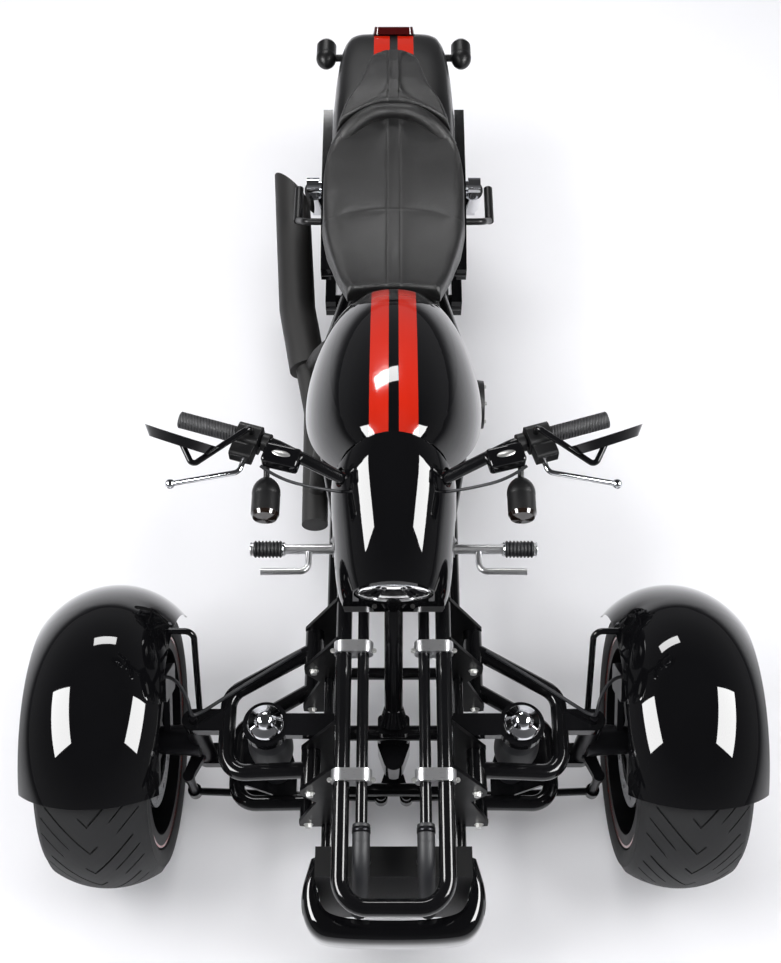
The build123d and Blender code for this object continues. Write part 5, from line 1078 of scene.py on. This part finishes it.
class TRIKE_OT_controls(bpy.types.Operator):
    """Fit peg rubbers, reservoirs, cables, hose bands and hoses"""

    bl_idname = "trike.controls"
    bl_label = "Controls and hoses"

    def execute(self, context):
        inner, outer, peg_y, peg_z, peg_r = PEGS
        for name, side in SIDES:
            rubber, steel = bmesh.new(), bmesh.new()
            along = (side, 0, 0)
            sleeve = at_mm(side, inner + 8, peg_y, peg_z)
            add_disc(rubber, sleeve, along, (peg_r + 1.5) * MM, (outer - inner - 14) * MM)
            for step in range(PEG_RIBS):
                at = at_mm(side, inner + 10 + step * PEG_PITCH, peg_y, peg_z)
                add_disc(rubber, at, along, (peg_r + 4.5) * MM, 3 * MM, 1.0, 40)
                add_disc(rubber, at + at_mm(side, 3, 0, 0), along, (peg_r + 4.5) * MM, 1.2 * MM, 0.9, 40)
            add_built("peg_rubber_" + name, rubber, ["moulded rubber"], "chassis")
            add_disc(steel, at_mm(side, outer, peg_y, peg_z), along, (peg_r + 3) * MM, 2.5 * MM, 0.86, 40)
            add_disc(steel, at_mm(side, inner + 2, peg_y, peg_z), along, (peg_r + 2) * MM, 5 * MM, 1.0, 40)
            add_built("peg_ends_" + name, steel, ["chrome plate"], "chassis")
            # Brake fluid reservoir on the bar, with its oval window
            pot, window = bmesh.new(), bmesh.new()
            bmesh.ops.create_cube(pot, size=1.0, matrix=Matrix.Diagonal((*(Vector(RESERVOIR_SIZE) * MM), 1)))
            edge = RESERVOIR_EDGE * MM
            bmesh.ops.bevel(pot, geom=pot.edges[:], offset=edge, segments=4, profile=0.5, affect="EDGES")
            stand = Matrix.Translation(at_mm(side, *RESERVOIR_AT))
            stand @= Matrix.Rotation(radians(RESERVOIR_TURN * side), 4, "Z")
            bmesh.ops.transform(pot, matrix=stand, verts=pot.verts)
            add_built("reservoir_" + name, pot, ["black lacquer"], "steering")
            add_disc(window, (0, 0, RESERVOIR_SIZE[2] / 2 * MM), (0, 0, 1), 7 * MM, 0.8 * MM, 0.94, 48)
            oval = stand @ Matrix.Diagonal((WINDOW_LONG, 1, 1, 1))
            bmesh.ops.transform(window, matrix=oval, verts=window.verts)
            add_built("reservoir_window_" + name, window, ["zinc plate"], "steering")
            for run, body, radius, places in RUNS:
                ridden = body + "_" + name if body == "knuckle" else body
                points = [at_mm(side, *place) for place in places]
                add_tube(run + "_" + name, points, radius * MM, "moulded rubber", ridden)
            bands = bmesh.new()
            for place, turn in zip(HOSE_ENDS, ((0, -1, 0), (0, 0, 1))):
                add_disc(bands, at_mm(side, *place), turn, (HOSE_R + 1.6) * MM, 11 * MM, 1.0, 48)
            add_built("hose_bands_" + name, bands, ["black anodised aluminium"], "chassis")
            points = [at_mm(side, *place) for place in HOSE_RUN]
            hose = (HOSE_R + 0.6) * MM
            add_tube("hose_run_" + name, points, hose, "moulded rubber", "chassis")
        return {"FINISHED"}


FLOOR_REACH = 40.0
CAMERA_AT = (0.0, -1.743, 3.195)
CAMERA_TILT = 30  # degrees from straight down
CAMERA_SHIFT = -0.0033
SOFTBOXES = (  # name, place, aimed at, width, height, share of the lamp power, lights diffuse, seen in gloss
    ("softbox_left", (-2.5, -0.9, 4.4), (0, -0.4, 0.4), 2.6, 1.1, 1.25, True, False),
    ("softbox_right", (2.5, -0.9, 4.4), (0, -0.4, 0.4), 2.6, 1.1, 1.0, True, False),
    ("softbox_front", (0.2, -4.2, 3.2), (0, -0.6, 0.3), 3.0, 2.0, 0.9, True, False),
    ("softbox_rear", (-0.6, 3.4, 3.4), (0, 0.5, 0.6), 2.0, 0.6, 0.8, True, True),
    ("softbox_top", (0.0, 0.2, 5.2), (0, 0.2, 0), 4.0, 4.0, 1.6, True, False),
    ("card_left", (-2.7, -0.9, 2.9), (0, -0.4, 0.4), 2.3, 1.3, 2.8, False, True),
    ("card_right", (2.7, -0.9, 2.9), (0, -0.4, 0.4), 2.3, 1.3, 2.8, False, True),
)


class TRIKE_OT_stage(bpy.types.Operator):
    """Lay the floor, hang the lamps and place the camera"""

    bl_idname = "trike.stage"
    bl_label = "Stage"

    def execute(self, context):
        stage = context.scene.trike_stage
        scene = context.scene
        mesh = bpy.data.meshes.new("floor")
        corners = [(x * FLOOR_REACH, y * FLOOR_REACH, 0) for x, y in ((-1, -1), (1, -1), (1, 1), (-1, 1))]
        mesh.from_pydata(corners, [], [(0, 1, 2, 3)])
        # Seamless paper: pale and dead matt, with a faint mottle.
        dull = {"Specular IOR Level": 0.1}
        coated("seamless paper", (stage.floor, "#ececf0"), (0.85, 0.95), 3, 0.02, dull, 900)
        mesh.materials.append(finish_of("seamless paper"))
        floor = bpy.data.objects.new("floor", mesh)
        scene.collection.objects.link(floor)
        world = bpy.data.worlds.new("studio")
        world.use_nodes = True
        # A dark ceiling over pale walls, so that black lacquer stays black from above.
        tree = world.node_tree
        upward = add_node(tree, "ShaderNodeTexCoord")["Generated"]
        height = add_node(tree, "ShaderNodeSeparateXYZ", {"Vector": upward})["Z"]
        span = dict(zip(SPAN, (0.15, 0.75, stage.walls, stage.ceiling)))
        fall = add_node(tree, "ShaderNodeMapRange", {"Value": height, **span})["Result"]
        feed(tree, tree.nodes["Background"], {"Color": linear("#f4f4f8"), "Strength": fall})
        scene.world = world
        for name, place, target, width, height, share, lights, seen in SOFTBOXES:
            lamp = bpy.data.lights.new(name, "AREA")
            lamp.shape = "RECTANGLE"
            lamp.size = width
            lamp.size_y = height
            lamp.energy = stage.lamp * share
            box = bpy.data.objects.new(name, lamp)
            box.location = place
            box.visible_diffuse = lights
            box.visible_glossy = seen
            box.rotation_euler = (Vector(target) - Vector(place)).to_track_quat("-Z", "Y").to_euler()
            scene.collection.objects.link(box)
        camera = bpy.data.objects.new("camera", bpy.data.cameras.new("camera"))
        camera.location = CAMERA_AT
        camera.rotation_euler = (radians(CAMERA_TILT), 0, 0)
        camera.data.lens = stage.lens
        camera.data.sensor_width = 36.0
        camera.data.shift_x = CAMERA_SHIFT
        camera.data.clip_end = 200
        scene.collection.objects.link(camera)
        scene.camera = camera
        scene.view_settings.view_transform = "Standard"
        return {"FINISHED"}


OPERATORS = (
    TRIKE_OT_finishes,
    TRIKE_OT_wheels,
    TRIKE_OT_tyres,
    TRIKE_OT_upholstery,
    TRIKE_OT_tail,
    TRIKE_OT_stripes,
    TRIKE_OT_lamps,
    TRIKE_OT_shroud,
    TRIKE_OT_fasteners,
    TRIKE_OT_controls,
    TRIKE_OT_stage,
)
SETTINGS = (  # name on the scene, its group
    ("trike_paint", TrikePaint),
    ("trike_tread", TrikeTread),
    ("trike_seat", TrikeSeat),
    ("trike_stage", TrikeStage),
)


class TRIKE_PT_panel(bpy.types.Panel):
    """Settings and steps of the trike"""

    bl_idname = "TRIKE_PT_panel"
    bl_label = "Motorized trike"
    bl_space_type = "VIEW_3D"
    bl_region_type = "UI"
    bl_category = "Trike"

    def draw(self, context):
        for setting, group in SETTINGS:
            column = self.layout.column()
            for field in group.__annotations__:
                column.prop(getattr(context.scene, setting), field)
        for step in OPERATORS:
            self.layout.operator(step.bl_idname)


CLASSES = tuple(group for _, group in SETTINGS) + OPERATORS + (TRIKE_PT_panel,)


def register():
    for made in CLASSES:
        bpy.utils.register_class(made)
    for setting, group in SETTINGS:
        setattr(bpy.types.Scene, setting, PointerProperty(type=group))


def unregister():
    for setting, _ in SETTINGS:
        delattr(bpy.types.Scene, setting)
    for made in reversed(CLASSES):
        bpy.utils.unregister_class(made)


def main():
    """Dresses the trike."""
    register()
    for step in OPERATORS:
        group, name = step.bl_idname.split(".")
        getattr(getattr(bpy.ops, group), name)()


if __name__ == "__main__":
    main()
